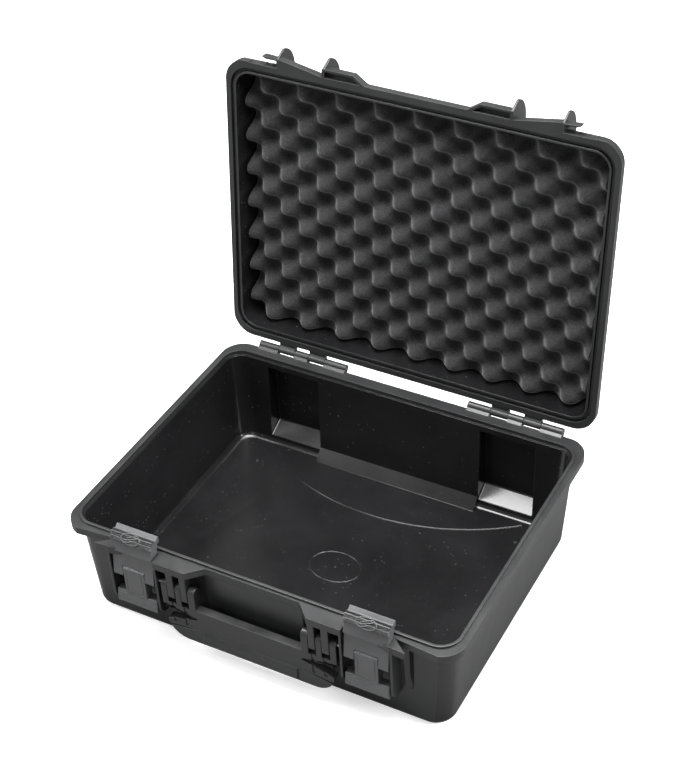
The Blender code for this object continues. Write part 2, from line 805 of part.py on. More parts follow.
def latch_lever(shop, side, sign, finish):
    middle = sign * LATCH_X
    body = shop.add(
        f"latch_lever_{side}",
        plate(
            lever_foot_outline(), middle - LATCH_HALF_WIDTH, middle + LATCH_HALF_WIDTH, turn=ALONG_X
        ),
        helper=False,
    )
    tongue = plate(
        lever_tongue_outline(), middle - TONGUE_HALF_WIDTH, middle + TONGUE_HALF_WIDTH, turn=ALONG_X
    )
    shop.boolean(body, "UNION", [shop.add("lever_add", tongue, True)])
    reach = TONGUE_HALF_WIDTH + 0.002
    holes = [
        cylinder_x(middle - reach, middle + reach, y, z, LATCH_PIN_RADIUS + GAP)
        for y, z in ((LEVER_Y, LEVER_Z), (LINK_Y, LINK_Z))
    ]
    shop.boolean(body, "DIFFERENCE", [shop.add("lever_cut", mesh, True) for mesh in holes])
    return shop.finish(body, finish, (middle, LEVER_Y, LEVER_Z))


def hook_outline():
    """The hook plate in (y, z): up the front, over the rim in a curve, and a lip behind the catch."""
    bend = 0.0085
    bend_centre = (-0.1826 + bend, HOOK_TOP_Z - bend)
    outer = [(-0.1850, HOOK_LEG_Z), (-0.1838, 0.1190)]
    outer += arc(bend_centre, bend, 180, 90, 6)
    inner_top = HOOK_TOP_Z - HOOK_THICKNESS
    lip = [
        (HOOK_BACK_Y, HOOK_TOP_Z),
        (HOOK_BACK_Y, HOOK_LIP_Z),
        (HOOK_BACK_Y - HOOK_LIP_DEPTH, HOOK_LIP_Z),
        (HOOK_BACK_Y - HOOK_LIP_DEPTH - 0.001, inner_top),
    ]
    inner = arc(bend_centre, bend - HOOK_THICKNESS, 90, 180, 5)
    inner += [(-0.1838 + HOOK_THICKNESS, 0.1190), (-0.1850 + HOOK_THICKNESS, HOOK_LEG_Z)]
    return outer + lip + inner


def hook_leg_outline():
    """The lower end of a hook leg in (y, z), thickened back round the link pin."""
    boss = arc((LINK_Y, LINK_Z), LEVER_KNUCKLE_RADIUS, -90, 90, 8)
    return boss + [(-0.1840, LINK_Z + LEVER_KNUCKLE_RADIUS), (-0.1840, LINK_Z - LEVER_KNUCKLE_RADIUS)]


def latch_hook(shop, side, sign, finish):
    middle = sign * LATCH_X
    low, high = middle - LATCH_HALF_WIDTH, middle + LATCH_HALF_WIDTH
    body = shop.add(f"latch_hook_{side}", plate(hook_outline(), low, high, turn=ALONG_X), False)
    window = TONGUE_HALF_WIDTH + 0.0005
    legs = [
        plate(hook_leg_outline(), *ends, turn=ALONG_X)
        for ends in ((low, middle - window), (middle + window, high))
    ]
    shop.boolean(body, "UNION", [shop.add("hook_add", mesh, True) for mesh in legs])
    cuts = [
        box((middle - window, -0.20, 0.06), (middle + window, -0.16, HOOK_WINDOW_Z)),
        cylinder_x(low + 0.0012, high - 0.0012, LINK_Y, LINK_Z, LATCH_PIN_RADIUS + GAP),
    ]
    shop.boolean(body, "DIFFERENCE", [shop.add("hook_cut", mesh, True) for mesh in cuts])
    return shop.finish(body, finish, (middle, LINK_Y, LINK_Z))


def latch_pins(shop, side, sign, finish):
    middle = sign * LATCH_X
    pivot_low, pivot_high = span(
        sign, BRACKET_OUTER_X - GUARD_THICKNESS + 0.0006, BOSS_INNER_X + GUARD_THICKNESS - 0.0006
    )
    pivot = shop.add(
        f"latch_pivot_pin_{side}",
        cylinder_x(pivot_low, pivot_high, LEVER_Y, LEVER_Z, LATCH_PIN_RADIUS),
        False,
    )
    shop.finish(pivot, finish, ((pivot_low + pivot_high) / 2, LEVER_Y, LEVER_Z))
    half = LATCH_HALF_WIDTH - 0.0018
    link = shop.add(
        f"latch_link_pin_{side}",
        cylinder_x(middle - half, middle + half, LINK_Y, LINK_Z, LATCH_PIN_RADIUS),
        False,
    )
    shop.finish(link, finish, (middle, LINK_Y, LINK_Z))


def build():
    clear_scene()
    shop = Workshop()
    shell = material("moulded plastic", PLASTIC, 0.45)
    latch = material("latch plastic", (0.060, 0.061, 0.063, 1.0), 0.50)
    foam = material("charcoal foam", (0.024, 0.024, 0.025, 1.0), 0.95)
    rubber = material("seal rubber", (0.012, 0.012, 0.012, 1.0), 0.70)
    steel = material("pin steel", (0.50, 0.50, 0.50, 1.0), 0.30, metallic=1.0)

    base_shell(shop, shell)
    lid_shell(shop, shell)
    lid_gasket(shop, rubber)
    lid_foam(shop, foam)
    carry_handle(shop, shell)
    for side, sign in (("left", -1), ("right", 1)):
        hinge_pin(shop, side, sign, steel)
        handle_pin(shop, side, sign, steel)
        latch_lever(shop, side, sign, latch)
        latch_hook(shop, side, sign, latch)
        latch_pins(shop, side, sign, steel)
    shop.lid_turn.rotation_euler = (-LID_OPEN, 0.0, 0.0)


build()
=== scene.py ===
"""The look of a hard equipment case: its shells, foam, latches, handle, pins and studio."""

import logging
import math
from dataclasses import dataclass
from enum import Enum
from typing import Callable, Iterable, Sequence

import bmesh
import bpy
from mathutils import Matrix, Vector, noise


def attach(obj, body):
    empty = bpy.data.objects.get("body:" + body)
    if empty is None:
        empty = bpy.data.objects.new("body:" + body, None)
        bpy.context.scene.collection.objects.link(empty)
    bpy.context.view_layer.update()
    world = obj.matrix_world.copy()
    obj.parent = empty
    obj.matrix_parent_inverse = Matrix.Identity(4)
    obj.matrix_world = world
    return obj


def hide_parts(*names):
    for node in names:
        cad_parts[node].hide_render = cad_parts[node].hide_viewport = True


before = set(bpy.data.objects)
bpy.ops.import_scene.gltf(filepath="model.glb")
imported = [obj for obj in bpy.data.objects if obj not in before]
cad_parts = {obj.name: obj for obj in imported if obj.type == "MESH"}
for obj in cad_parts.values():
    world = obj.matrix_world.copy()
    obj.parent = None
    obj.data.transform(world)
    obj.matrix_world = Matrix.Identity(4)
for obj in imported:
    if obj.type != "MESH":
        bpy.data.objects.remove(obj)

log = logging.getLogger("equipment_case")

Point = tuple[float, float]
Corner = tuple[float, float, float]
Mesh = bpy.types.Mesh
SIDES = (("left", -1), ("right", 1))
DUST_GREY = (0.35, 0.34, 0.32, 1.0)
WHITE = (1.0, 1.0, 1.0, 1.0)


class Facing(Enum):
    """Which way an outline faces when it is given thickness."""

    UP = Matrix(((1, 0, 0, 0), (0, 1, 0, 0), (0, 0, 1, 0), (0, 0, 0, 1)))
    ACROSS = Matrix(((0, 0, 1, 0), (1, 0, 0, 0), (0, 1, 0, 0), (0, 0, 0, 1)))
    FORWARD = Matrix(((1, 0, 0, 0), (0, 0, -1, 0), (0, 1, 0, 0), (0, 0, 0, 1)))


class Step(Enum):
    """What one stage of shaping does with its helper solids."""

    JOIN = "UNION"
    CUT = "DIFFERENCE"
    KEEP = "INTERSECT"


@dataclass(frozen=True)
class Oblong:
    """An upright block's plan: half its width, and where its front and back lie."""

    half_x: float
    front: float
    back: float

    def grown(self, amount: float) -> "Oblong":
        """Returns the plan grown outwards all round."""
        return Oblong(self.half_x + amount, self.front - amount, self.back + amount)

    def drawn_in(self, side: float, front: float, back: float) -> "Oblong":
        """Returns the plan drawn in at its sides, front and back."""
        return Oblong(self.half_x - side, self.front + front, self.back - back)


MOUTH = Oblong(0.2175, -0.1614, 0.1559)
MOUTH_CORNER = 0.018


@dataclass(frozen=True)
class Hinge:
    """The hinge line that the lid swings on."""

    y: float = 0.1803
    z: float = 0.1238
    open_angle: float = math.radians(96.4)
    barrel: float = 0.0045
    pin_hole: float = 0.0018
    ends: tuple[float, ...] = (0.0783, 0.1068, 0.1283, 0.1470, 0.1684, 0.1950)

    def swing(self) -> Matrix:
        """Returns the turn that takes the closed lid to its open rest."""
        there = Matrix.Translation((0.0, self.y, self.z))
        turn = Matrix.Rotation(-self.open_angle, 4, "X")
        return there @ turn @ there.inverted()


HINGE = Hinge()
HANDLE_PIN: Point = (-0.1795, 0.0925)
HANDLE_BORE = 0.0023
LEVER_PIN: Point = (-0.1752, 0.1005)
LINK_PIN: Point = (-0.1768, 0.0900)
LATCH_BORE = 0.0019
CORNER_CHORDS = 12
FRONT_WALL = -0.1642
SKIN = 0.0002  # keeps the faces of joined solids out of one plane


def arc(centre: Point, radius: float, start: float, end: float, steps: int) -> list[Point]:
    """Points on a circle.

    Args:
        centre: the circle's centre.
        radius: its radius.
        start: the first angle, in degrees.
        end: the last angle, in degrees.
        steps: the number of chords between them.

    Returns:
        steps + 1 points.
    """
    angles = (math.radians(start + (end - start) * i / steps) for i in range(steps + 1))
    return [(centre[0] + radius * math.cos(a), centre[1] + radius * math.sin(a)) for a in angles]


def rounded(corners: Sequence[Corner], steps: int = 8) -> list[Point]:
    """An outline with each corner rounded to its own radius.

    Args:
        corners: (x, y, radius) of each corner in turn; a radius of 0 leaves it sharp.
        steps: chords for each rounding.

    Returns:
        The outline's points.
    """
    points: list[Point] = []
    for i, (x, y, radius) in enumerate(corners):
        here = Vector((x, y))
        if radius <= 0:
            points.append((x, y))
            continue
        before = Vector(corners[i - 1][:2]) - here
        after = Vector(corners[(i + 1) % len(corners)][:2]) - here
        before.normalize()
        after.normalize()
        half = before.angle(after) / 2
        run = radius / math.tan(half)
        centre = here + (before + after).normalized() * (radius / math.sin(half))
        first = here + before * run - centre
        last = here + after * run - centre
        sweep = first.angle_signed(last)
        for k in range(steps + 1):
            spoke = first.copy()
            spoke.rotate(Matrix.Rotation(-sweep * k / steps, 2))
            points.append(tuple(centre + spoke))
    return points


def mirrored(right_half: Sequence[tuple]) -> list[tuple]:
    """Returns the outline whose right half, front to back, is given."""
    return list(right_half) + [(-x, *rest) for x, *rest in reversed(right_half)]


def span(sign: int, low: float, high: float) -> tuple[float, float]:
    """Returns the x range on the right, or its mirror image on the left."""
    return (low, high) if sign > 0 else (-high, -low)


def mesh_of(bm: bmesh.types.BMesh) -> Mesh:
    """Returns the bmesh as a mesh, with its faces pointing outwards."""
    bmesh.ops.recalc_face_normals(bm, faces=bm.faces)
    mesh = bpy.data.meshes.new("solid")
    bm.to_mesh(mesh)
    bm.free()
    return mesh


def bevelled(bm: bmesh.types.BMesh, edges: list, width: float, steps: int) -> None:
    """Rounds the given edges in place."""
    bmesh.ops.bevel(
        bm, geom=edges, offset=width, segments=steps, profile=0.5, affect="EDGES", material=-1
    )


def block(
    low: Oblong,
    high: Oblong,
    low_z: float,
    high_z: float,
    corner: float,
    low_round: float = 0.0,
    high_round: float = 0.0,
    round_steps: int = 5,
) -> Mesh:
    """A block with rounded upright corners that tapers between two plans.

    Args:
        low: the plan at the bottom.
        high: the plan at the top.
        low_z: the bottom's height.
        high_z: the top's height.
        corner: the upright corners' radius.
        low_round: rounding of the bottom edge.
        high_round: rounding of the top edge.
        round_steps: chords across those roundings.

    Returns:
        The closed mesh.
    """
    bm = bmesh.new()
    bmesh.ops.create_cube(bm, size=2.0)
    for vert in bm.verts:
        plan = high if vert.co.z > 0 else low
        vert.co = (
            math.copysign(plan.half_x, vert.co.x),
            plan.back if vert.co.y > 0 else plan.front,
            high_z if vert.co.z > 0 else low_z,
        )
    upright = [e for e in bm.edges if e.verts[0].co.z != e.verts[1].co.z]
    bevelled(bm, upright, corner, CORNER_CHORDS)
    for level, width in ((low_z, low_round), (high_z, high_round)):
        if width:
            ring = [e for e in bm.edges if all(abs(v.co.z - level) < 1e-6 for v in e.verts)]
            bevelled(bm, ring, width, round_steps)
    return mesh_of(bm)


def plate(
    outline: Sequence[Point],
    low: float,
    high: float,
    facing: Facing = Facing.UP,
    edge: float = 0.0,
    edge_steps: int = 2,
) -> Mesh:
    """A flat outline given thickness, with its rims rounded.

    Args:
        outline: the outline's points in turn.
        low: where its thickness starts.
        high: where it ends.
        facing: the axis that it is thick along.
        edge: rounding of the rims of both faces.
        edge_steps: chords across that rounding.

    Returns:
        The closed mesh.
    """
    bm = bmesh.new()
    verts = [bm.verts.new((x, y, low)) for x, y in outline]
    bmesh.ops.contextual_create(bm, geom=verts)
    grown = bmesh.ops.extrude_face_region(bm, geom=list(bm.faces))["geom"]
    raised = [g for g in grown if isinstance(g, bmesh.types.BMVert)]
    bmesh.ops.translate(bm, verts=raised, vec=(0.0, 0.0, high - low))
    if edge:
        rims = [e for e in bm.edges if e.verts[0].co.z == e.verts[1].co.z]
        bevelled(bm, rims, edge, edge_steps)
    bmesh.ops.transform(bm, matrix=facing.value, verts=bm.verts)
    return mesh_of(bm)


def rod(low: Vector, high: Vector, radius: float, sides: int = 32, edge: float = 0.0) -> Mesh:
    """A round bar between two points.

    Args:
        low: the middle of one end.
        high: the middle of the other.
        radius: its radius.
        sides: its number of sides.
        edge: rounding of its ends.

    Returns:
        The closed mesh.
    """
    run = high - low
    bm = bmesh.new()
    bmesh.ops.create_cone(
        bm, cap_ends=True, segments=sides, radius1=radius, radius2=radius, depth=run.length
    )
    if edge:
        bevelled(bm, [e for e in bm.edges if e.verts[0].co.z == e.verts[1].co.z], edge, 3)
    turn = Vector((0, 0, 1)).rotation_difference(run).to_matrix().to_4x4()
    bmesh.ops.transform(bm, matrix=Matrix.Translation((low + high) / 2) @ turn, verts=bm.verts)
    return mesh_of(bm)


def rod_x(low: float, high: float, centre: Point, radius: float) -> Mesh:
    """Returns a round bar that lies along X, with its centre given in (y, z)."""
    return rod(Vector((low, *centre)), Vector((high, *centre)), radius)


def round_ended(foot: Vector, top: float, radius: float, drop: float) -> Mesh:
    """An upright round bar with a domed lower end.

    Args:
        foot: the middle of the bar where the dome starts.
        top: the height of its flat upper end.
        radius: its radius.
        drop: how far the dome hangs below its start.

    Returns:
        The closed mesh.
    """
    bm = bmesh.new()
    bmesh.ops.create_uvsphere(bm, u_segments=40, v_segments=24, radius=1.0)
    everything = [*bm.verts, *bm.edges, *bm.faces]
    bmesh.ops.bisect_plane(
        bm, geom=everything, plane_co=(0, 0, 0), plane_no=(0, 0, 1), clear_outer=True, dist=1e-5
    )
    bmesh.ops.scale(bm, vec=(radius, radius, drop), verts=bm.verts)
    bmesh.ops.translate(bm, vec=foot, verts=bm.verts)
    rim = [e for e in bm.edges if e.is_boundary]
    grown = bmesh.ops.extrude_edge_only(bm, edges=rim)["geom"]
    for vert in (g for g in grown if isinstance(g, bmesh.types.BMVert)):
        vert.co.z = top
    bmesh.ops.contextual_create(bm, geom=[e for e in bm.edges if e.is_boundary])
    return mesh_of(bm)


def bead(path: Sequence[Vector], radius: float, closed: bool = False) -> Mesh:
    """A thin round line along a path.

    Args:
        path: its points in turn.
        radius: the line's radius.
        closed: whether the last point joins the first.

    Returns:
        The closed mesh.
    """
    curve = bpy.data.curves.new("bead", "CURVE")
    curve.dimensions = "3D"
    curve.bevel_depth = radius
    curve.bevel_resolution = 2
    curve.use_fill_caps = not closed
    spline = curve.splines.new("POLY")
    spline.points.add(len(path) - 1)
    for point, place in zip(spline.points, path):
        point.co = (*place, 1.0)
    spline.use_cyclic_u = closed
    source = placed(curve)
    bm = bmesh.new()
    bm.from_mesh(baked(source))
    bpy.data.objects.remove(source)
    bmesh.ops.remove_doubles(bm, verts=bm.verts, dist=1e-6)
    return mesh_of(bm)


def placed(data: bpy.types.ID, name: str = "helper") -> bpy.types.Object:
    """Returns a new object in the scene that holds the mesh, curve, lamp or camera."""
    obj = bpy.data.objects.new(name, data)
    bpy.context.scene.collection.objects.link(obj)
    return obj


def baked(obj: bpy.types.Object) -> Mesh:
    """Returns the object's mesh with its modifiers applied."""
    graph = bpy.context.evaluated_depsgraph_get()
    return bpy.data.meshes.new_from_object(obj.evaluated_get(graph))


def shaped(core: Mesh, stages: Iterable[tuple[Step, Sequence[Mesh]]]) -> Mesh:
    """Joins and cuts a core solid, stage by stage.

    Args:
        core: the solid to start from.
        stages: what each stage does, and its helper solids.

    Returns:
        The finished mesh.
    """
    target = placed(core)
    helpers = []
    for step, meshes in stages:
        for mesh in meshes:
            helper = placed(mesh)
            helpers.append(helper)
            modifier = target.modifiers.new("shape", "BOOLEAN")
            modifier.operation = step.value
            modifier.solver = "EXACT"
            modifier.object = helper
    bpy.context.view_layer.update()
    result = baked(target)
    for obj in (target, *helpers):
        bpy.data.objects.remove(obj)
    result.materials.clear()
    return result


def merged(meshes: Sequence[Mesh], turn: Matrix | None = None) -> Mesh:
    """Returns several meshes as one, turned if asked."""
    bm = bmesh.new()
    for mesh in meshes:
        bm.from_mesh(mesh)
    if turn:
        bmesh.ops.transform(bm, matrix=turn, verts=bm.verts)
    result = bpy.data.meshes.new("merged")
    bm.to_mesh(result)
    bm.free()
    return result


def triangulated(mesh: Mesh) -> Mesh:
    """Returns the mesh with its many-sided faces split, and points that coincide joined."""
    bm = bmesh.new()
    bm.from_mesh(mesh)
    bmesh.ops.remove_doubles(bm, verts=bm.verts, dist=2e-6)
    bmesh.ops.dissolve_degenerate(bm, edges=bm.edges, dist=1e-6)
    bmesh.ops.triangulate(bm, faces=[f for f in bm.faces if len(f.verts) > 4])
    return mesh_of(bm)


@dataclass
class Piece:
    """A finished piece: its mesh, what it stands for and what it moves with."""

    name: str
    mesh: Mesh
    body: str
    node: str
    slot: str
    materials: Sequence[bpy.types.Material]
    sharp: float = 13.0
    choose: Callable[[Vector, Vector], int] | None = None

    def place(self) -> bpy.types.Object:
        """Shades the mesh, dresses it, and fixes it to its body.

        Returns:
            The placed object.
        """
        obj = placed(triangulated(self.mesh))
        obj.data.shade_smooth()
        obj.data.set_sharp_from_angle(angle=math.radians(self.sharp))
        obj.name = obj.data.name = self.name
        for material in self.materials:
            obj.data.materials.append(material)
        for face in obj.data.polygons:
            face.material_index = self.choose(face.center, face.normal) if self.choose else 0
        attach(obj, self.body)
        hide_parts(self.node)
        log.info("%s: %d faces", self.name, len(obj.data.polygons))
        return obj


# ---- Finishes ----


@dataclass
class Wiring:
    """A node tree, with short ways to add and join its nodes."""

    tree: bpy.types.NodeTree

    def add(self, kind: str, inputs: dict | None = None, **settings) -> bpy.types.Node:
        """Adds a node.

        Args:
            kind: the node's type, without its ShaderNode prefix.
            inputs: a value, or the socket to take it from, for each input.
            settings: the node's own properties.

        Returns:
            The new node.
        """
        node = self.tree.nodes.new("ShaderNode" + kind)
        for key, value in settings.items():
            setattr(node, key, value)
        for key, value in (inputs or {}).items():
            if isinstance(value, bpy.types.NodeSocket):
                self.tree.links.new(value, node.inputs[key])
            else:
                node.inputs[key].default_value = value
        return node

    def group(self, tree: bpy.types.ShaderNodeTree, inputs: dict) -> bpy.types.Node:
        """Returns a new node for a shared group, with its inputs set."""
        return self.add("Group", inputs, node_tree=tree)

    def join(self, result: bpy.types.NodeSocket, target: bpy.types.NodeSocket) -> None:
        """Links a result to an input."""
        self.tree.links.new(result, target)

    def math(self, operation: str, first, second) -> bpy.types.NodeSocket:
        """Returns the result of one sum on two values or sockets."""
        return self.add("Math", {0: first, 1: second}, operation=operation).outputs[0]

    def times(self, first, second) -> bpy.types.NodeSocket:
        """Returns the product of two values or sockets."""
        return self.math("MULTIPLY", first, second)

    def blend(self, share, low, high, mode: str = "MIX") -> bpy.types.NodeSocket:
        """Returns a mix of two colours."""
        colours = {"Fac": share, "Color1": low, "Color2": high}
        return self.add("MixRGB", colours, blend_type=mode).outputs[0]

    def scaled(self, value, low: float, high: float, to_low: float, to_high: float):
        """Returns a value carried from one range to another, and held at its ends."""
        ends = {"From Min": low, "From Max": high, "To Min": to_low, "To Max": to_high}
        return self.add("MapRange", {"Value": value, **ends}).outputs[0]


def effect(name: str, inputs: dict[str, tuple], outputs: dict[str, str]) -> tuple:
    """Starts a shared shader group.

    Args:
        name: the group's name.
        inputs: each input's socket type and starting value.
        outputs: each output's socket type.

    Returns:
        The group, its wiring, its input node and its output node.
    """
    group = bpy.data.node_groups.new(name, "ShaderNodeTree")
    for key, (kind, value) in inputs.items():
        socket = group.interface.new_socket(key, in_out="INPUT", socket_type="NodeSocket" + kind)
        if value is not None:
            socket.default_value = value
    for key, kind in outputs.items():
        group.interface.new_socket(key, in_out="OUTPUT", socket_type="NodeSocket" + kind)
    source = group.nodes.new("NodeGroupInput")
    sink = group.nodes.new("NodeGroupOutput")
    return group, Wiring(group), source, sink


def grain_effect() -> bpy.types.ShaderNodeTree:
    """Returns the pebbled grain of a textured mould."""
    group, wire, source, sink = effect(
        "mould_grain",
        {"Vector": ("Vector", None), "Scale": ("Float", 1500.0), "Pebbles": ("Float", 0.5)},
        {"Height": "Float", "Tone": "Float"},
    )
    vector, scale, pebbles = source.outputs[0], source.outputs[1], source.outputs[2]
    fine = wire.add(
        "TexNoise", {"Vector": vector, "Scale": scale, "Detail": 3.0, "Roughness": 0.6}
    ).outputs["Fac"]
    cells = wire.add(
        "TexVoronoi",
        {"Vector": vector, "Scale": wire.times(scale, 0.8)},
        feature="SMOOTH_F1",
    ).outputs["Distance"]
    height = wire.blend(pebbles, fine, cells)
    wire.join(height, sink.inputs["Height"])
    wire.join(fine, sink.inputs["Tone"])
    return group


def edge_effect() -> bpy.types.ShaderNodeTree:
    """Returns a mask of worn edges, and the normal that rounds them off."""
    group, wire, source, sink = effect(
        "worn_edges",
        {"Vector": ("Vector", None), "Radius": ("Float", 0.0007), "Patchiness": ("Float", 0.5)},
        {"Mask": "Float", "Normal": "Vector"},
    )
    vector, radius, patchiness = source.outputs[0], source.outputs[1], source.outputs[2]
    soft = wire.add("Bevel", {"Radius": radius}, samples=6).outputs[0]
    true = wire.add("NewGeometry").outputs["Normal"]
    match = wire.add("VectorMath", {0: soft, 1: true}, operation="DOT_PRODUCT").outputs["Value"]
    turned = wire.scaled(match, 0.995, 0.86, 0.0, 1.0)
    patches = wire.add(
        "TexNoise", {"Vector": vector, "Scale": 160.0, "Detail": 4.0, "Roughness": 0.65}
    ).outputs["Fac"]
    broken = wire.blend(patchiness, (1, 1, 1, 1), wire.scaled(patches, 0.42, 0.62, 0.0, 1.0))
    wire.join(wire.times(turned, broken), sink.inputs["Mask"])
    wire.join(soft, sink.inputs["Normal"])
    return group


def mottle_effect() -> bpy.types.ShaderNodeTree:
    """Returns slow patches of tone, with a finer layer over them."""
    group, wire, source, sink = effect(
        "mottle",
        {"Vector": ("Vector", None), "Scale": ("Float", 12.0), "Warp": ("Float", 0.4)},
        {"Tone": "Float"},
    )
    slow = wire.add(
        "TexNoise",
        {"Vector": source.outputs[0], "Scale": source.outputs[1], "Detail": 5.0,
         "Roughness": 0.62, "Distortion": source.outputs[2]},
    ).outputs["Fac"]
    tone = wire.scaled(slow, 0.3, 0.7, 0.0, 1.0)
    wire.join(tone, sink.inputs["Tone"])
    return group


def dust_effect() -> bpy.types.ShaderNodeTree:
    """Returns scattered specks, and a thin film that gathers on faces turned up."""
    group, wire, source, sink = effect(
        "dust",
        {"Vector": ("Vector", None), "Scale": ("Float", 260.0), "Size": ("Float", 0.1),
         "Share": ("Float", 0.2)},
        {"Specks": "Float", "Film": "Float"},
    )
    vector, scale, size, share = source.outputs[:4]
    warp = {"Vector": vector, "Scale": 300.0, "Detail": 2.0}
    warped = wire.add("TexNoise", warp).outputs["Color"]
    nudge = wire.add("VectorMath", {0: warped, "Scale": 0.003}, operation="SCALE").outputs[0]
    bent = wire.add("VectorMath", {0: vector, 1: nudge}, operation="ADD").outputs[0]
    cell = wire.add("TexVoronoi", {"Vector": bent, "Scale": scale, "Randomness": 1.0})
    near = wire.math("LESS_THAN", cell.outputs["Distance"], size)
    split = wire.add("SeparateColor", {0: cell.outputs["Color"]})
    chosen = wire.math("LESS_THAN", split.outputs[0], share)
    wire.join(wire.times(near, chosen), sink.inputs["Specks"])
    up = wire.add("SeparateXYZ", {0: wire.add("NewGeometry").outputs["Normal"]}).outputs[2]
    cloud = wire.add("TexNoise", {"Vector": vector, "Scale": 22.0, "Detail": 6.0}).outputs["Fac"]
    facing_up = wire.scaled(up, 0.2, 1.0, 0.0, 1.0)
    patches = wire.scaled(cloud, 0.4, 0.75, 0.0, 1.0)
    wire.join(wire.times(facing_up, patches), sink.inputs["Film"])
    return group


@dataclass(frozen=True)
class Effects:
    """The shared shader groups."""

    grain: bpy.types.ShaderNodeTree
    edges: bpy.types.ShaderNodeTree
    mottle: bpy.types.ShaderNodeTree
    dust: bpy.types.ShaderNodeTree


@dataclass(frozen=True)
class Plastic:
    """A moulded finish: its colour, gloss, grain, worn edges and dust."""

    name: str
    colour: tuple[float, float, float]
    worn: tuple[float, float, float]
    roughness: float
    roughness_swing: float = 0.08
    tone_swing: float = 0.25
    tone_scale: float = 14.0
    stretch: tuple[float, float, float] = (1.0, 1.0, 1.0)
    grain_scale: float = 1700.0
    grain_depth: float = 0.00006
    grain_tone: float = 0.2
    pebbles: float = 0.5
    wear: float = 0.5
    specks: float = 0.06
    film: float = 0.1
    specular: float = 0.5
    sheen: float = 0.0
    metallic: float = 0.0

    def make(self, effects: Effects) -> bpy.types.Material:
        """Builds the material.

        Args:
            effects: the shared shader groups.

        Returns:
            The material.
        """
        made = bpy.data.materials.new(self.name)
        made.use_nodes = True
        wire = Wiring(made.node_tree)
        shader = made.node_tree.nodes["Principled BSDF"]
        place = wire.add("TexCoord").outputs["Object"]
        drawn = wire.add("Mapping", {"Vector": place, "Scale": self.stretch}).outputs[0]
        grain = wire.group(
            effects.grain, {"Vector": place, "Scale": self.grain_scale, "Pebbles": self.pebbles}
        )
        mottle = wire.group(effects.mottle, {"Vector": drawn, "Scale": self.tone_scale})
        edges = wire.group(effects.edges, {"Vector": place})
        dust = wire.group(effects.dust, {"Vector": place})

        dark = (*(c * (1 - self.tone_swing) for c in self.colour), 1.0)
        light = (*(c * (1 + self.tone_swing) for c in self.colour), 1.0)
        colour = wire.blend(mottle.outputs["Tone"], dark, light)
        flecks = wire.scaled(
            grain.outputs["Tone"], 0.3, 0.7, 1 - self.grain_tone, 1 + self.grain_tone
        )
        colour = wire.blend(1.0, colour, flecks, "MULTIPLY")
        for mask, share, over in (
            (edges.outputs["Mask"], self.wear, (*self.worn, 1.0)),
            (dust.outputs["Film"], self.film, DUST_GREY),
            (dust.outputs["Specks"], self.specks, DUST_GREY),
        ):
            colour = wire.blend(wire.times(mask, share), colour, over)
        rough = wire.scaled(
            mottle.outputs["Tone"], 0.0, 1.0,
            self.roughness - self.roughness_swing, self.roughness + self.roughness_swing,
        )
        rough = wire.math("ADD", rough, wire.times(dust.outputs["Film"], self.film))
        bump = wire.add(
            "Bump",
            {"Height": grain.outputs["Height"], "Strength": 1.0, "Distance": self.grain_depth,
             "Normal": edges.outputs["Normal"]},
        ).outputs[0]
        for name, result in (("Base Color", colour), ("Roughness", rough), ("Normal", bump)):
            wire.join(result, shader.inputs[name])
        shader.inputs["Specular IOR Level"].default_value = self.specular
        shader.inputs["Metallic"].default_value = self.metallic
        shader.inputs["Sheen Weight"].default_value = self.sheen
        made.diffuse_color = (*self.colour, 1.0)
        return made


@dataclass
class Finishes:
    """Every material on the case."""

    effects: Effects

    def __post_init__(self) -> None:
        """Builds the materials."""
        self.outer = Plastic(
            "satin_moulded_shell", (0.016, 0.0165, 0.017), (0.075, 0.075, 0.075), 0.36,
            stretch=(1.0, 1.0, 0.5), film=0.03, roughness_swing=0.04,
        ).make(self.effects)
        # The inside is the same shell plastic as the outside: its lower roughness is the real
        # glossy finish, and its darker colour is painted shade inside the case.
        self.inner = Plastic(
            "glossy_shell_inside_painted_shade", (0.0075, 0.0075, 0.0080), (0.03, 0.03, 0.03), 0.21,
            roughness_swing=0.04, grain_depth=0.00002, grain_scale=900.0, wear=0.25,
            specks=0.4, film=0.0, tone_scale=9.0,
        ).make(self.effects)
        self.latch = Plastic(
            "matte_latch_plastic", (0.075, 0.076, 0.079), (0.20, 0.20, 0.20), 0.38,
            grain_scale=2200.0, grain_depth=0.00004,
        ).make(self.effects)
        self.handle = Plastic(
            "satin_handle_plastic", (0.014, 0.0145, 0.015), (0.06, 0.06, 0.06), 0.33,
            grain_scale=2000.0, grain_depth=0.00004,
        ).make(self.effects)
        self.foam = Plastic(
            "open_cell_foam", (0.021, 0.021, 0.022), (0.03, 0.03, 0.03), 0.95,
            roughness_swing=0.04, grain_scale=620.0, grain_depth=0.0006, grain_tone=0.6,
            pebbles=0.65, wear=0.0, specks=0.25, film=0.0, specular=0.15, sheen=0.25,
            tone_scale=30.0,
        ).make(self.effects)
        self.rubber = Plastic(
            "seal_rubber", (0.012, 0.012, 0.012), (0.03, 0.03, 0.03), 0.62,
            grain_scale=1200.0, wear=0.3,
        ).make(self.effects)
        self.steel = Plastic(
            "satin_steel_pin", (0.50, 0.50, 0.51), (0.7, 0.7, 0.7), 0.30,
            metallic=1.0, stretch=(0.1, 1.0, 1.0), tone_scale=400.0, specks=0.0, film=0.05,
            grain_depth=0.00001, tone_swing=0.15,
        ).make(self.effects)


# ---- Shells ----


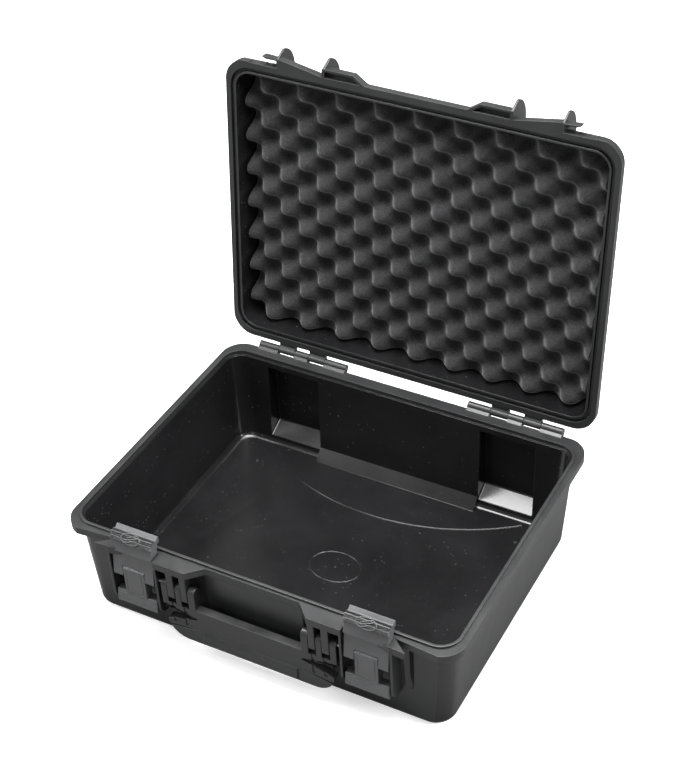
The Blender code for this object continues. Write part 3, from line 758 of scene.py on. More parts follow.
@dataclass(frozen=True)
class Rim:
    """The flange where base and lid meet, with its brackets and padlock bosses."""

    half_x: float = 0.230
    front: float = -0.1762
    z: float = 0.122
    gap: float = 0.0003
    corner: float = 0.026
    ledge_half_x: float = 0.0551
    bracket_inner_x: float = 0.0713
    bracket_outer_x: float = 0.1100
    boss_inner_x: float = 0.1632
    boss_outer_x: float = 0.1800
    bracket_front: float = -0.1855
    guard_thickness: float = 0.0028
    padlock: tuple[float, float, float] = (0.1775, -0.1778, 0.0038)

    def corners(self, back: float) -> list[Corner]:
        """The right side of the flange.

        Args:
            back: where its back edge lies.

        Returns:
            The two rounded corners, front to back.
        """
        x, radius = self.half_x - self.corner, self.corner
        front = arc((x, self.front + radius), radius, -75, 0, 14)
        rear = arc((x, back - radius), radius, 0, 90, 14)
        return [(px, py, 0.0) for px, py in front + rear]

    def base_outline(self) -> list[Point]:
        """Returns the base flange's outline."""
        middle, pocket, front = -0.1695, -0.1715, self.bracket_front
        right = [
            (self.ledge_half_x, middle, 0.005),
            (self.bracket_inner_x, front, 0.003),
            (self.bracket_outer_x, front, 0.001),
            (self.bracket_outer_x, pocket, 0.0),
            (self.boss_inner_x, pocket, 0.0),
            (self.boss_inner_x, front, 0.001),
            (self.boss_outer_x, front, 0.005),
        ]
        return rounded(mirrored(right + self.corners(0.1760)))

    def lid_outline(self) -> list[Point]:
        """Returns the lid flange's outline."""
        middle, front = self.front, self.bracket_front
        right = [
            (self.ledge_half_x + 0.004, middle, 0.005),
            (self.bracket_inner_x + 0.002, front, 0.003),
            (self.bracket_outer_x + 0.0005, front, 0.001),
            (self.bracket_outer_x + 0.0005, middle, 0.0),
            (self.boss_inner_x, middle, 0.0),
            (self.boss_inner_x, front, 0.001),
            (self.boss_outer_x + 0.003, front, 0.005),
        ]
        return rounded(mirrored(right + self.corners(0.1702)))


RIM = Rim()


def crosswise(
    outline: Sequence[Point], sign: int, ends: Sequence[float], edge: float = 0.0
) -> Mesh:
    """Returns a plate drawn in (y, z) that lies between two x on one side of the case."""
    return plate(outline, *span(sign, *ends), Facing.ACROSS, edge)


def knuckles(sign: int, which: Sequence[int], outline: Sequence[Point]) -> list[Mesh]:
    """Hinge knuckles on one side.

    Args:
        sign: -1 for the left, 1 for the right.
        which: the numbers of the hinge's segments.
        outline: the knuckle's outline in (y, z).

    Returns:
        One solid for each knuckle.
    """
    return [
        crosswise(outline, sign, (HINGE.ends[i] + RIM.gap, HINGE.ends[i + 1] - RIM.gap))
        for i in which
    ]


def pin_bore(sign: int) -> Mesh:
    """Returns the cutter for a hinge pin's bore."""
    low, high = span(sign, HINGE.ends[0] - 0.002, HINGE.ends[-1] + 0.002)
    return rod_x(low, high, (HINGE.y, HINGE.z), HINGE.pin_hole)


@dataclass
class BaseShell:
    """The lower half of the case."""

    wall_grow: float = 0.005
    wall: float = 0.0038
    floor: float = 0.004
    taper: tuple[float, float, float] = (0.0080, 0.0022, 0.0070)
    bottom_round: float = 0.009
    rim_thickness: float = 0.009
    ledge_z: float = 0.1195
    housing_x: tuple[float, float] = (0.1005, 0.1755)
    pocket_x: tuple[float, float] = (0.1040, 0.1720)
    pocket_mouth: float = 0.1440
    pocket_back: float = 0.1720
    pocket_z: tuple[float, float] = (0.0120, 0.1125)
    housing_back: float = 0.1755
    guard_foot: float = 0.0440
    ribs: tuple[Point, ...] = ((0.0713, 0.0790), (0.0867, 0.0952))
    rib_foot: float = 0.0775
    cove: float = 0.013

    def build(self, finishes: Finishes) -> None:
        """Builds the base.

        Args:
            finishes: the case's materials.
        """
        z = RIM.z
        core = block(
            MOUTH.grown(self.wall_grow).drawn_in(*self.taper),
            MOUTH.grown(self.wall_grow),
            0.0,
            z - 0.003,
            MOUTH_CORNER + self.wall_grow,
            low_round=self.bottom_round,
            round_steps=9,
        )
        tongue = MOUTH.grown(0.006)
        joins = [
            plate(RIM.base_outline(), z - self.rim_thickness, z),
            block(tongue, tongue, z - 0.004, z + 0.003, MOUTH_CORNER + 0.006, high_round=0.0007,
                  round_steps=2),
            self.front_panel(),
        ]
        inner = self.wall_grow - self.wall
        mouth = MOUTH.grown(inner)
        recess = MOUTH.grown(0.003)
        cuts = [
            block(
                mouth.drawn_in(*self.taper), mouth, self.floor, z + 0.01,
                MOUTH_CORNER + inner, low_round=self.bottom_round - 0.002, round_steps=9,
            ),
            block(recess, recess, self.ledge_z, z + 0.01, MOUTH_CORNER + 0.003),
            self.underside(),
        ]
        inside = [self.back_cove()]
        for _, sign in SIDES:
            joins += self.front_fittings(sign)
            joins += knuckles(sign, (0, 2, 4), self.knuckle_outline())
            joins.append(crosswise(self.housing_outline(), sign, self.housing_x, edge=0.0012))
            cuts += self.holes(sign)
            cuts.append(crosswise(self.pocket_outline(), sign, self.pocket_x, edge=0.001))
        shell = shaped(core, [(Step.JOIN, joins), (Step.CUT, cuts), (Step.JOIN, inside)])
        Piece(
            "base", merged([shell, *self.floor_marks()]), "base", "base_shell", "shell",
            (finishes.outer, finishes.inner), choose=self.side_of,
        ).place()

    def side_of(self, centre: Vector, normal: Vector) -> int:
        """Tells the inside of the base from its outside.

        Args:
            centre: the middle of a face.
            normal: the way it faces; not used.

        Returns:
            1 for the glossy inside, whose darker colour is painted shade, and 0 for the grained
            outside.
        """
        draft = 1 - centre.z / (RIM.z - 0.003)
        middle = MOUTH.grown(self.wall_grow - self.wall / 2)
        middle = middle.drawn_in(*(t * draft for t in self.taper))
        within = abs(centre.x) < middle.half_x and middle.front < centre.y < middle.back
        (low, high), (foot, top), slack = self.pocket_x, self.pocket_z, 0.001
        pocket = (
            low - slack < abs(centre.x) < high + slack
            and self.pocket_mouth + slack < centre.y < self.pocket_back + slack
            and foot - 0.0025 < centre.z < top + 0.0012
        )
        return int((within and self.floor / 2 < centre.z < RIM.z - 0.0001) or pocket)

    @staticmethod
    def knuckle_outline() -> list[Point]:
        """Returns a base knuckle's outline in (y, z): a barrel on an arm from the rim."""
        barrel = arc((HINGE.y, HINGE.z), HINGE.barrel, -35, 190, 20)
        foot = RIM.z - 0.0085
        return barrel + [(0.1715, RIM.z - 0.0003), (0.1715, foot), (0.1780, foot)]

    def housing_outline(self) -> list[Point]:
        """Returns a hinge housing's outline in (y, z), its foot sloping up to the back."""
        top, foot = RIM.z - 0.0035, 0.0070
        return rounded([
            (0.1500, top, 0.0), (0.1500, foot, 0.0), (0.1545, foot, 0.003),
            (self.housing_back, foot + 0.010, 0.004), (self.housing_back, top, 0.0),
        ])

    def pocket_outline(self) -> list[Point]:
        """Returns the outline in (y, z) of the pocket inside a hinge housing."""
        foot, top = self.pocket_z
        return rounded([
            (self.pocket_mouth, top, 0.0), (self.pocket_mouth, foot, 0.0),
            (0.1510, foot, 0.004), (self.pocket_back, foot + 0.010, 0.0035),
            (self.pocket_back, top, 0.002),
        ])

    def front_panel(self) -> Mesh:
        """Returns the panel under the middle of the rim, swept in towards the foot."""
        face, back, top, bend_top, half = -0.1693, -0.1580, RIM.z - 0.0045, 0.1120, 0.0580
        shares = (0.15, 0.3, 0.45, 0.6, 0.75, 0.9, 1.0)
        sweep = [(face + 0.0045 * t**1.7, bend_top - 0.074 * t) for t in shares]
        outline = [(face, top), (face, bend_top), *sweep, (back, 0.0360), (back, top)]
        return plate(outline, -half, half, Facing.ACROSS, edge=0.0016, edge_steps=4)

    def guard_outline(self) -> list[Point]:
        """Returns a guard wall's outline in (y, z), rounded back into the front wall."""
        radius, inner, top, front = 0.013, FRONT_WALL, RIM.z - 0.002, RIM.bracket_front + SKIN
        foot = arc((front + radius, self.guard_foot + radius), radius, 180, 255, 10)
        return [(inner, top), (front, top), *foot, (inner, self.guard_foot - 0.002)]

    def front_fittings(self, sign: int) -> list[Mesh]:
        """Returns the guard walls and the handle bracket's ribs on one side."""
        thick = RIM.guard_thickness
        meshes = [
            crosswise(self.guard_outline(), sign, (low, low + thick), edge=0.0006)
            for low in (RIM.bracket_outer_x - thick - SKIN, RIM.boss_inner_x + SKIN)
        ]
        front, foot, top = RIM.bracket_front + SKIN, self.rib_foot, RIM.z - 0.002
        outline = rounded([
            (FRONT_WALL, top, 0.0), (front, top, 0.0), (front, foot, 0.0022),
            (FRONT_WALL, foot, 0.0),
        ])
        return meshes + [crosswise(outline, sign, ends, edge=0.0008) for ends in self.ribs]

    def holes(self, sign: int) -> list[Mesh]:
        """Returns the cutters for the bores, knuckle gaps and finger scoops on one side."""
        x, y, radius = RIM.padlock
        low, high = span(sign, RIM.bracket_inner_x - 0.002, RIM.bracket_outer_x - 0.0012)
        first, last = span(sign, RIM.bracket_outer_x - 0.0038, RIM.boss_inner_x + 0.0038)
        meshes = [
            pin_bore(sign),
            rod_x(low, high, HANDLE_PIN, HANDLE_BORE),
            rod_x(first, last, LEVER_PIN, LATCH_BORE),
            rod(Vector((sign * x, y, RIM.z - 0.02)), Vector((sign * x, y, RIM.z + 0.005)), radius),
            round_ended(
                Vector((sign * 0.1745, -0.1710, 0.054)), RIM.z - self.rim_thickness - SKIN,
                0.0075, 0.012,
            ),
        ]
        for i in (1, 3):
            low, high = span(sign, HINGE.ends[i] - RIM.gap, HINGE.ends[i + 1] + RIM.gap)
            near, far, foot, top = 0.1745, 0.19, 0.10, RIM.z + 0.002
            room = [(near, foot), (far, foot), (far, top), (near, top)]
            meshes.append(plate(room, low, high, Facing.ACROSS))
        return meshes

    def back_cove(self) -> Mesh:
        """Returns the wide fillet between the floor and the middle of the back wall."""
        foot = MOUTH.back + self.wall_grow - self.wall - self.taper[2] + 0.0006
        curve = arc((foot - self.cove, self.floor + self.cove), self.cove, -90, -4, 10)
        sunk, buried, half = self.floor - 0.001, foot + 0.0012, self.pocket_x[0] - SKIN
        outline = [
            *curve, (buried, self.floor + self.cove), (buried, sunk), (foot - self.cove, sunk)
        ]
        return plate(outline, -half, half, Facing.ACROSS)

    def underside(self) -> Mesh:
        """Returns the cutter for the shallow recess in the base's underside."""
        panel = Oblong(0.170, -0.115, 0.115)
        return block(panel, panel, -0.002, 0.0008, 0.022, high_round=0.0006, round_steps=2)

    def floor_marks(self) -> list[Mesh]:
        """Returns the fine lines and studs moulded on the inside of the floor."""
        top = self.floor
        sweep = [Vector((x, y, top)) for x, y in arc((-0.005, 0.357), 0.275, 238, 308, 70)]
        ring = [
            Vector((0.002 + 0.030 * math.cos(a), -0.009 + 0.0225 * math.sin(a), top))
            for a in (math.tau * i / 96 for i in range(96))
        ]
        meshes = [bead(sweep, 0.0008), bead(ring, 0.0005, closed=True)]
        for x, y, radius, rise in (
            (0.002, -0.009, 0.0012, 0.0005),
            (-0.170, 0.111, 0.0030, 0.0012),
            (0.168, 0.114, 0.0030, 0.0012),
        ):
            foot, head = Vector((x, y, top - 0.001)), Vector((x, y, top + rise))
            meshes.append(rod(foot, head, radius, 40, edge=0.0003))
        return meshes


@dataclass
class LidShell:
    """The upper half of the case, shaped as when it is closed and then swung open."""

    wall_grow: float = 0.005
    depth: float = 0.050
    wall: float = 0.0034
    taper: float = 0.0064
    crown: float = 0.012
    rim_thickness: float = 0.0092

    @property
    def low(self) -> float:
        """Returns the height of the lid's rim plane on the closed case."""
        return RIM.z + RIM.gap

    def inside(self, height: float, clear: float = 0.0) -> Oblong:
        """Returns the lid's inner plan at a height above its rim plane."""
        inset = self.taper * height / self.depth + clear
        return MOUTH.drawn_in(inset, inset, inset)

    def build(self, finishes: Finishes) -> None:
        """Builds the lid.

        Args:
            finishes: the case's materials.
        """
        low, high = self.low, self.low + self.depth
        outer = MOUTH.grown(self.wall_grow)
        core = block(
            outer, outer.drawn_in(*(self.taper,) * 3), low, high, MOUTH_CORNER + self.wall_grow,
            high_round=self.crown, round_steps=9,
        )
        joins = [plate(RIM.lid_outline(), low, low + self.rim_thickness)]
        cuts = [
            block(
                self.inside(-0.01), self.inside(self.depth - self.wall),
                low - 0.01, high - self.wall, MOUTH_CORNER,
                high_round=self.crown - 0.002, round_steps=9,
            ),
            self.groove(),
            self.top_panel(high),
        ]
        for _, sign in SIDES:
            joins += self.fins(sign)
            joins += knuckles(sign, (1, 3), self.knuckle_outline())
            joins.append(self.catch(sign))
            cuts += self.holes(sign)
        shell = shaped(core, [(Step.JOIN, joins), (Step.CUT, cuts)])
        Piece(
            "lid", merged([shell], HINGE.swing()), "lid", "lid_shell", "shell",
            (finishes.outer, finishes.inner), choose=self.side_of,
        ).place()

    def side_of(self, centre: Vector, normal: Vector) -> int:
        """Tells the inside of the lid from its outside.

        Args:
            centre: the middle of a face on the open lid.
            normal: the way it faces; not used.

        Returns:
            1 for the glossy inside, whose darker colour is painted shade, and 0 for the grained
            outside.
        """
        shut = HINGE.swing().inverted() @ centre
        height = shut.z - self.low
        middle = self.inside(height, clear=-0.002)
        within = abs(shut.x) < middle.half_x and middle.front < shut.y < middle.back
        return int(within and 0.0001 < height < self.depth - self.wall / 2)

    @staticmethod
    def knuckle_outline() -> list[Point]:
        """Returns a lid knuckle's outline in (y, z) on the closed case."""
        barrel = arc((HINGE.y, HINGE.z), HINGE.barrel, -150, 90, 22)
        low = HINGE.z - 0.0007
        return barrel + [(0.1685, HINGE.z + HINGE.barrel), (0.1685, low), (0.1740, low)]

    def fins(self, sign: int) -> list[Mesh]:
        """Returns the two fins beside one latch: each swells past the ear, then curves back."""
        low, inner = self.low, MOUTH.front - 0.0025
        tip, end = low + 0.0135, low + 0.037
        reach = -0.1925 - inner
        back = [
            (inner + reach * math.cos(t), tip + (end - tip) * math.sin(t))
            for t in (i * math.pi / 32 for i in range(15))
        ]
        low += SKIN
        outline = [(inner, low), (RIM.bracket_front + SKIN, low), *back, (inner + 0.004, end)]
        thick = RIM.guard_thickness
        ends = (
            (RIM.bracket_outer_x - thick, RIM.bracket_outer_x + 0.0003),
            (RIM.boss_inner_x + SKIN, RIM.boss_inner_x + thick),
        )
        return [crosswise(outline, sign, pair, edge=0.0006) for pair in ends]

    def catch(self, sign: int) -> Mesh:
        """Returns the ledge that one hook closes over."""
        top = self.low + self.rim_thickness + 0.0013
        outline = rounded([
            (RIM.front, top - 0.004, 0.0), (RIM.front + 0.0025, top - 0.004, 0.0),
            (RIM.front + 0.0025, top, 0.0006), (RIM.front, top, 0.0006),
        ])
        return crosswise(
            outline, sign, (RIM.bracket_outer_x + 0.0003, RIM.boss_inner_x + SKIN)
        )

    def groove(self) -> Mesh:
        """Returns the ring-shaped cutter for the seal's groove."""
        outer, inner = MOUTH.grown(0.0068), MOUTH.grown(0.0022)
        ring = block(outer, outer, self.low - 0.002, self.low + 0.0052, MOUTH_CORNER + 0.0068)
        core = block(inner, inner, self.low - 0.004, self.low + 0.02, MOUTH_CORNER + 0.0022)
        return shaped(ring, [(Step.CUT, [core])])

    @staticmethod
    def top_panel(high: float) -> Mesh:
        """Returns the cutter for the shallow recessed panel in the lid's top."""
        panel = Oblong(0.165, -0.110, 0.105)
        return block(
            panel, panel, high - 0.0011, high + 0.002, 0.020, low_round=0.0009, round_steps=3
        )

    def holes(self, sign: int) -> list[Mesh]:
        """Returns the cutters for the ear pockets and bores on one side."""
        wall_y = RIM.bracket_front + 0.0025
        inner_end = RIM.bracket_outer_x - RIM.guard_thickness
        outer = [
            (RIM.boss_inner_x + 0.0025, -0.1745),
            (RIM.boss_inner_x + 0.0025, wall_y),
            (RIM.boss_outer_x + 0.0025, wall_y),
            (0.2010, -0.1748),
        ]
        inner = [
            (inner_end, -0.1760),
            (inner_end, wall_y),
            (RIM.bracket_inner_x + 0.0035, wall_y),
            (RIM.ledge_half_x + 0.0095, -0.1763),
        ]
        top = self.low + self.rim_thickness - 0.0022
        meshes = [
            plate([(sign * x, y) for x, y in outline], self.low - 0.005, top)
            for outline in (outer, inner)
        ]
        x, y, radius = RIM.padlock
        y -= 0.0005
        foot = Vector((sign * x, y, self.low))
        meshes.append(rod(foot, foot + Vector((0.0, 0.0, 0.02)), radius))
        meshes.append(pin_bore(sign))
        return meshes


@dataclass
class LidFoam:
    """The egg-crate pad in the lid."""

    half_x: float = 0.2122
    front: float = -0.1555
    back: float = 0.1500
    corner: float = 0.016
    cell: float = 0.0021
    tip: float = 0.0098
    valley: float = 0.0330
    skirt: tuple[Point, ...] = ((0.0365, 0.0018), (0.0430, 0.0060), (0.0460, 0.0105))
    pitch: tuple[float, float] = (0.0472, 0.0410)
    first_tip: tuple[float, float] = (-0.1159, 0.3030)

    def build(self, finishes: Finishes) -> None:
        """Builds the pad.

        Args:
            finishes: the case's materials.
        """
        low = RIM.z + RIM.gap
        bm = bmesh.new()
        depth = self.back - self.front
        across, along = round(2 * self.half_x / self.cell), round(depth / self.cell)
        bmesh.ops.create_grid(bm, x_segments=across, y_segments=along, size=1.0)
        for vert in bm.verts:
            x = vert.co.x * self.half_x
            y = (self.front + self.back) / 2 + vert.co.y * depth / 2
            vert.co = self.on_outline(x, y)
        for vert in bm.verts:
            vert.co.z = low + self.height(vert.co.x, vert.co.y)
        middle, last = (self.front + self.back) / 2, 0.0
        for level, inset in self.skirt:
            rim = [e for e in bm.edges if e.is_boundary]
            grown = bmesh.ops.extrude_edge_only(bm, edges=rim)["geom"]
            share_x = (self.half_x - inset) / (self.half_x - last)
            share_y = (depth / 2 - inset) / (depth / 2 - last)
            for vert in (g for g in grown if isinstance(g, bmesh.types.BMVert)):
                x, y, _ = vert.co
                vert.co = (x * share_x, middle + (y - middle) * share_y, low + level)
            last = inset
        bmesh.ops.contextual_create(bm, geom=[e for e in bm.edges if e.is_boundary])
        bmesh.ops.transform(bm, matrix=HINGE.swing(), verts=bm.verts)
        pad = Piece(
            "lid_foam_pad", mesh_of(bm), "lid", "lid_foam", "foam", (finishes.foam,), sharp=80.0
        ).place()

    def on_outline(self, x: float, y: float) -> Vector:
        """Returns the point, brought in to the pad's rounded corner if it lies outside."""
        middle = (self.front + self.back) / 2
        corner = Vector((self.half_x - self.corner, (self.back - self.front) / 2 - self.corner))
        off = Vector((abs(x), abs(y - middle))) - corner
        if off.x > 0 and off.y > 0 and off.length > 0:
            square = max(off.x, off.y)
            off = off.normalized() * square
            x = math.copysign(corner.x + off.x, x)
            y = middle + math.copysign(corner.y + off.y, y - middle)
        return Vector((x, y, 0.0))

    def height(self, x: float, y: float) -> float:
        """The face's height above the lid's rim plane, on the closed case.

        Args:
            x: across the case.
            y: from its front to its back.

        Returns:
            The height: low at a tip, and high in a valley.
        """
        reach = HINGE.y - y
        wave = math.cos(math.tau * (x - self.first_tip[0]) / self.pitch[0]) * math.cos(
            math.tau * (reach - self.first_tip[1]) / self.pitch[1]
        )
        wave = 0.55 * wave + 0.45 * math.sin(wave * math.pi / 2)
        lumps = noise.noise(Vector((x, y, 0.0)) * 60.0) * 0.0005
        return (self.tip + self.valley) / 2 - (self.valley - self.tip) / 2 * wave + lumps


# ---- Handle and latches ----


@dataclass
class CarryHandle:
    """The U-shaped handle on the front, folded down."""

    barrel: float = 0.0055
    fingers: tuple[Point, ...] = ((0.0625, 0.0708), (0.0795, 0.0862), (0.0957, 0.1030))
    arm_top: float = 0.0710
    arm_front: float = -0.1850
    arm_depth: float = 0.0090
    grip_half_x: float = 0.0545
    grip_top: float = 0.0445
    grip_foot: float = 0.0225
    arm_foot: float = 0.0230
    grip_front: float = -0.1870
    grip_depth: float = 0.0160
    outer_x: tuple[float, float] = (0.0990, 0.1026)
    corner: float = 0.0230
    grooves: tuple[Point, ...] = ((0.0738, 0.0775), (0.0878, 0.0920))

    def build(self, finishes: Finishes) -> None:
        """Builds the handle.

        Args:
            finishes: the case's materials.
        """
        back = self.arm_front + self.arm_depth
        core = plate(self.outline(), -back, -self.arm_front, Facing.FORWARD)
        joins, cuts = [self.grip()], []
        for _, sign in SIDES:
            joins += [self.finger(sign, pair) for pair in self.fingers]
            cuts += self.arm_grooves(sign)
            low, high = span(sign, self.fingers[0][0] + 0.0015, self.fingers[2][1] + 0.002)
            cuts.append(rod_x(low, high, HANDLE_PIN, HANDLE_BORE))
        cuts.append(self.badge_line())
        mesh = shaped(core, [(Step.JOIN, joins), (Step.CUT, cuts)])
        Piece("handle", mesh, "handle", "carry_handle", "shell", (finishes.handle,)).place()

    def outline(self) -> list[Point]:
        """Returns the U's outline in (x, z), below the tops of its arms."""
        low_x, top_x = self.outer_x
        inner = self.fingers[0][0] - 0.0002
        bottom = arc((low_x - self.corner, self.arm_foot + self.corner), self.corner, -90, 0, 14)
        right = [(x, z, 0.0) for x, z in bottom]
        right += [
            (top_x - 0.0015, self.arm_top - 0.008, 0.0),
            (top_x, self.arm_top, 0.0022),
            (inner, self.arm_top, 0.0018),
            (inner, 0.0580, 0.006),
            (self.grip_half_x, self.grip_top - 0.0006, 0.0),
        ]
        return rounded(mirrored(right))

    def finger(self, sign: int, pair: Point) -> Mesh:
        """Returns one of the fingers that reach up round the pin."""
        back = self.arm_front + self.arm_depth - SKIN
        foot = self.arm_top - 0.004
        outline = arc(HANDLE_PIN, self.barrel - 0.0001, 180, 0, 20) + [
            (back, HANDLE_PIN[1] - 0.006),
            (back, foot),
            (self.arm_front + 0.0001, foot),
        ]
        return crosswise(outline, sign, pair, edge=0.0006)

    def grip(self) -> Mesh:
        """Returns the grip between the arms, rounded for the hand."""
        front, back = self.grip_front, self.grip_front + self.grip_depth
        outline = rounded(
            [
                (front, self.grip_foot, 0.006),
                (back, self.grip_foot, 0.005),
                (back, self.grip_top, 0.006),
                (front, self.grip_top, 0.0078),
            ],
            steps=9,
        )
        half = self.grip_half_x + 0.002
        return plate(outline, -half, half, Facing.ACROSS, edge=0.0012, edge_steps=3)

    def arm_grooves(self, sign: int) -> list[Mesh]:
        """Returns the cutters for the shallow grooves down one arm's front."""
        deep = 0.0011
        meshes = []
        for low, high in self.grooves:
            x_low, x_high = span(sign, low, high)
            outline = rounded([
                (x_low, 0.0430, 0.0015), (x_high, 0.0430, 0.0015),
                (x_high, self.arm_top + 0.004, 0.0), (x_low, self.arm_top + 0.004, 0.0),
            ])
            face = -self.arm_front
            meshes.append(plate(outline, face - deep, face + 0.004, Facing.FORWARD))
        return meshes

    def badge_line(self) -> Mesh:
        """Returns the cutter for the fine oval line on the grip's front."""
        height = (self.grip_top + self.grip_foot) / 2
        path = [
            Vector((0.0215 * math.cos(a), self.grip_front, height + 0.0072 * math.sin(a)))
            for a in (math.tau * i / 72 for i in range(72))
        ]
        return bead(path, 0.00045, closed=True)


@dataclass
class DrawLatch:
    """One latch: its lever, and the hook that the lever draws down over the lid."""

    side: str
    sign: int
    x: float = 0.13665
    half: float = 0.02485
    tongue_half: float = 0.0131
    barrel: float = 0.0042
    front: float = -0.1850
    back: float = -0.1745
    foot_z: float = 0.0455
    shoulder_z: float = 0.0620
    top_z: float = 0.0985
    leg_z: float = 0.0858
    window_z: float = 0.0995
    hook_top: float = 0.1412
    hook_back: float = -0.1655
    thick: float = 0.0028
    bend: float = 0.0085
    lip_z: float = 0.1332
    lip_depth: float = 0.0040

    @property
    def middle(self) -> float:
        """Returns the latch's middle across the case."""
        return self.sign * self.x

    def build(self, finishes: Finishes) -> None:
        """Builds the lever and the hook.

        Args:
            finishes: the case's materials.
        """
        for part, mesh in (("lever", self.lever()), ("hook", self.hook())):
            name = f"{part}_{self.side}"
            Piece(
                f"latch_{part}_{self.side}_shaped", mesh, name, f"latch_{part}_{self.side}",
                "latch", (finishes.latch,),
            ).place()

    def across(self, outline: Sequence[Point], low: float, high: float, edge: float = 0.0) -> Mesh:
        """Returns a plate across the latch, between two distances from its middle."""
        return plate(outline, self.middle + low, self.middle + high, Facing.ACROSS, edge, 3)

    def bore_at(self, place: Point, reach: float) -> Mesh:
        """Returns the cutter for a pin's bore."""
        return rod_x(self.middle - reach, self.middle + reach, place, LATCH_BORE)

    def lever(self) -> Mesh:
        """Returns the lever: a wide ribbed foot, and a tongue up to the pivot."""
        front, back, half = self.front, self.back, self.tongue_half
        foot, shoulder = self.foot_z, self.shoulder_z
        foot_outline = rounded([
            (back, shoulder, 0.0012), (front + 0.0008, shoulder, 0.0012),
            (front - 0.0012, foot + 0.0012, 0.0010), (front + 0.0002, foot, 0.0010),
            (back, foot, 0.003),
        ])
        core = self.across(foot_outline, -self.half, self.half, edge=0.0007)
        tongue = arc(LEVER_PIN, self.barrel, -60, 150, 18) + [
            (front + 0.0035, self.top_z),
            (front + 0.0005, self.top_z - 0.002),
            (front, shoulder - 0.004),
            (back, shoulder - 0.004),
        ]
        ribs = [self.foot_rib(i) for i in range(5)]
        cuts = [self.bore_at(place, self.tongue_half + 0.002) for place in (LEVER_PIN, LINK_PIN)]
        cuts.append(self.frame_line())
        body = shaped(
            core,
            [
                (Step.JOIN, [self.across(tongue, -half, half, edge=0.0007)]),
                (Step.CUT, cuts),
            ],
        )
        return merged([body, *ribs])

    def foot_rib(self, row: int) -> Mesh:
        """Returns one of the fine curved ribs across the lever's foot."""
        z = self.foot_z + 0.0036 + 0.0026 * row
        reach = self.half - 0.0032
        path = []
        for i in range(25):
            t = i / 12 - 1
            height = z - 0.0016 * t * t
            slope = (height - self.foot_z) / (self.shoulder_z - self.foot_z)
            depth = self.front - 0.0009 + 0.0017 * slope
            path.append(Vector((self.middle + reach * t, depth, height)))
        return bead(path, 0.0004)

    def frame_line(self) -> Mesh:
        """Returns the cutter for the U-shaped line sunk in the tongue's face."""
        inset, low, high = 0.0034, self.shoulder_z + 0.0015, self.top_z - 0.0045
        half, bend = self.tongue_half - inset, 0.0030
        corner = arc((half - bend, low + bend), bend, 0, -90, 8)
        right = [(half, high), *corner]
        line = right + [(-x, z) for x, z in reversed(right)]
        path = [
            Vector((self.middle + x, self.front + 0.0005 * (z - self.shoulder_z) / 0.0345, z))
            for x, z in line
        ]
        return bead(path, 0.0006)

    def hook_outline(self) -> list[Point]:
        """Returns the hook plate's outline in (y, z): up the front, over the rim, and its lip."""
        bend, top, thick = self.bend, self.hook_top, self.thick
        centre = (-0.1826 + bend, top - bend)
        outer = [(self.front, self.leg_z), (-0.1838, 0.1190)] + arc(centre, bend, 180, 90, 14)
        lip = [
            (self.hook_back, top, 0.0012),
            (self.hook_back, self.lip_z, 0.0009),
            (self.hook_back - self.lip_depth, self.lip_z, 0.0009),
            (self.hook_back - self.lip_depth - 0.001, top - thick, 0.0),
        ]
        inner = arc(centre, bend - thick, 90, 180, 12)
        inner += [(-0.1838 + thick, 0.1190), (self.front + thick, self.leg_z)]
        corners = [(y, z, 0.0) for y, z in outer] + lip + [(y, z, 0.0) for y, z in inner]
        return rounded(corners)

    def hook(self) -> Mesh:
        """Returns the hook: two legs round the tongue, a bend and a lip."""
        window = self.tongue_half + 0.0005
        y, z = LINK_PIN
        boss = arc((y, z), self.barrel, -90, 90, 16) + [
            (-0.1840, z + self.barrel), (-0.1840, z - self.barrel)
        ]
        sides = ((-self.half, -window), (window, self.half))
        legs = [self.across(boss, *ends, edge=0.0005) for ends in sides]
        opening = rounded([
            (self.middle - window, 0.06, 0.0), (self.middle + window, 0.06, 0.0),
            (self.middle + window, self.window_z, 0.0025),
            (self.middle - window, self.window_z, 0.0025),
        ])
        cuts = [
            plate(opening, 0.16, 0.20, Facing.FORWARD),
            self.bore_at(LINK_PIN, self.half - 0.0012),
        ]
        core = self.across(self.hook_outline(), -self.half, self.half)
        body = shaped(core, [(Step.JOIN, legs), (Step.CUT, cuts)])
        return merged([body, *self.thumb_grip()])

    def on_bend(self, across: float, along: float) -> Vector:
        """Returns the point on the bend at distances across and along it from its middle."""
        turn = math.radians(135) - along / self.bend
        return Vector(
            (
                self.middle + across,
                -0.1826 + self.bend + self.bend * math.cos(turn),
                self.hook_top - self.bend + self.bend * math.sin(turn),
            )
        )

    def thumb_grip(self) -> list[Mesh]:
        """Returns the oval line on the bend, and the three slanted ribs inside it."""
        turns = [math.tau * i / 64 for i in range(64)]
        oval = [self.on_bend(0.0112 * math.cos(a), 0.0062 * math.sin(a)) for a in turns]
        meshes = [bead(oval, 0.0005, closed=True)]
        for row in (-1, 0, 1):
            reach = 0.0062 - 0.0012 * abs(row)
            path = [
                self.on_bend(reach * t, 0.0026 * row + 0.0022 * t)
                for t in (i / 8 - 1 for i in range(17))
            ]
            meshes.append(bead(path, 0.0006))
        return meshes


# ---- Studio ----


@dataclass(frozen=True)
class Softbox:
    """A large soft lamp aimed at the case."""

    name: str
    place: tuple[float, float, float]
    size: tuple[float, float]
    watts: float
    aim: tuple[float, float, float] = (0.0, 0.0, 0.10)

    def hang(self) -> None:
        """Adds the lamp to the scene."""
        lamp = bpy.data.lights.new(self.name, "AREA")
        lamp.shape = "RECTANGLE"
        lamp.size, lamp.size_y = self.size
        lamp.energy = self.watts
        holder = placed(lamp, self.name)
        holder.location = self.place
        way = Vector(self.aim) - Vector(self.place)
        holder.rotation_euler = way.to_track_quat("-Z", "Y").to_euler()


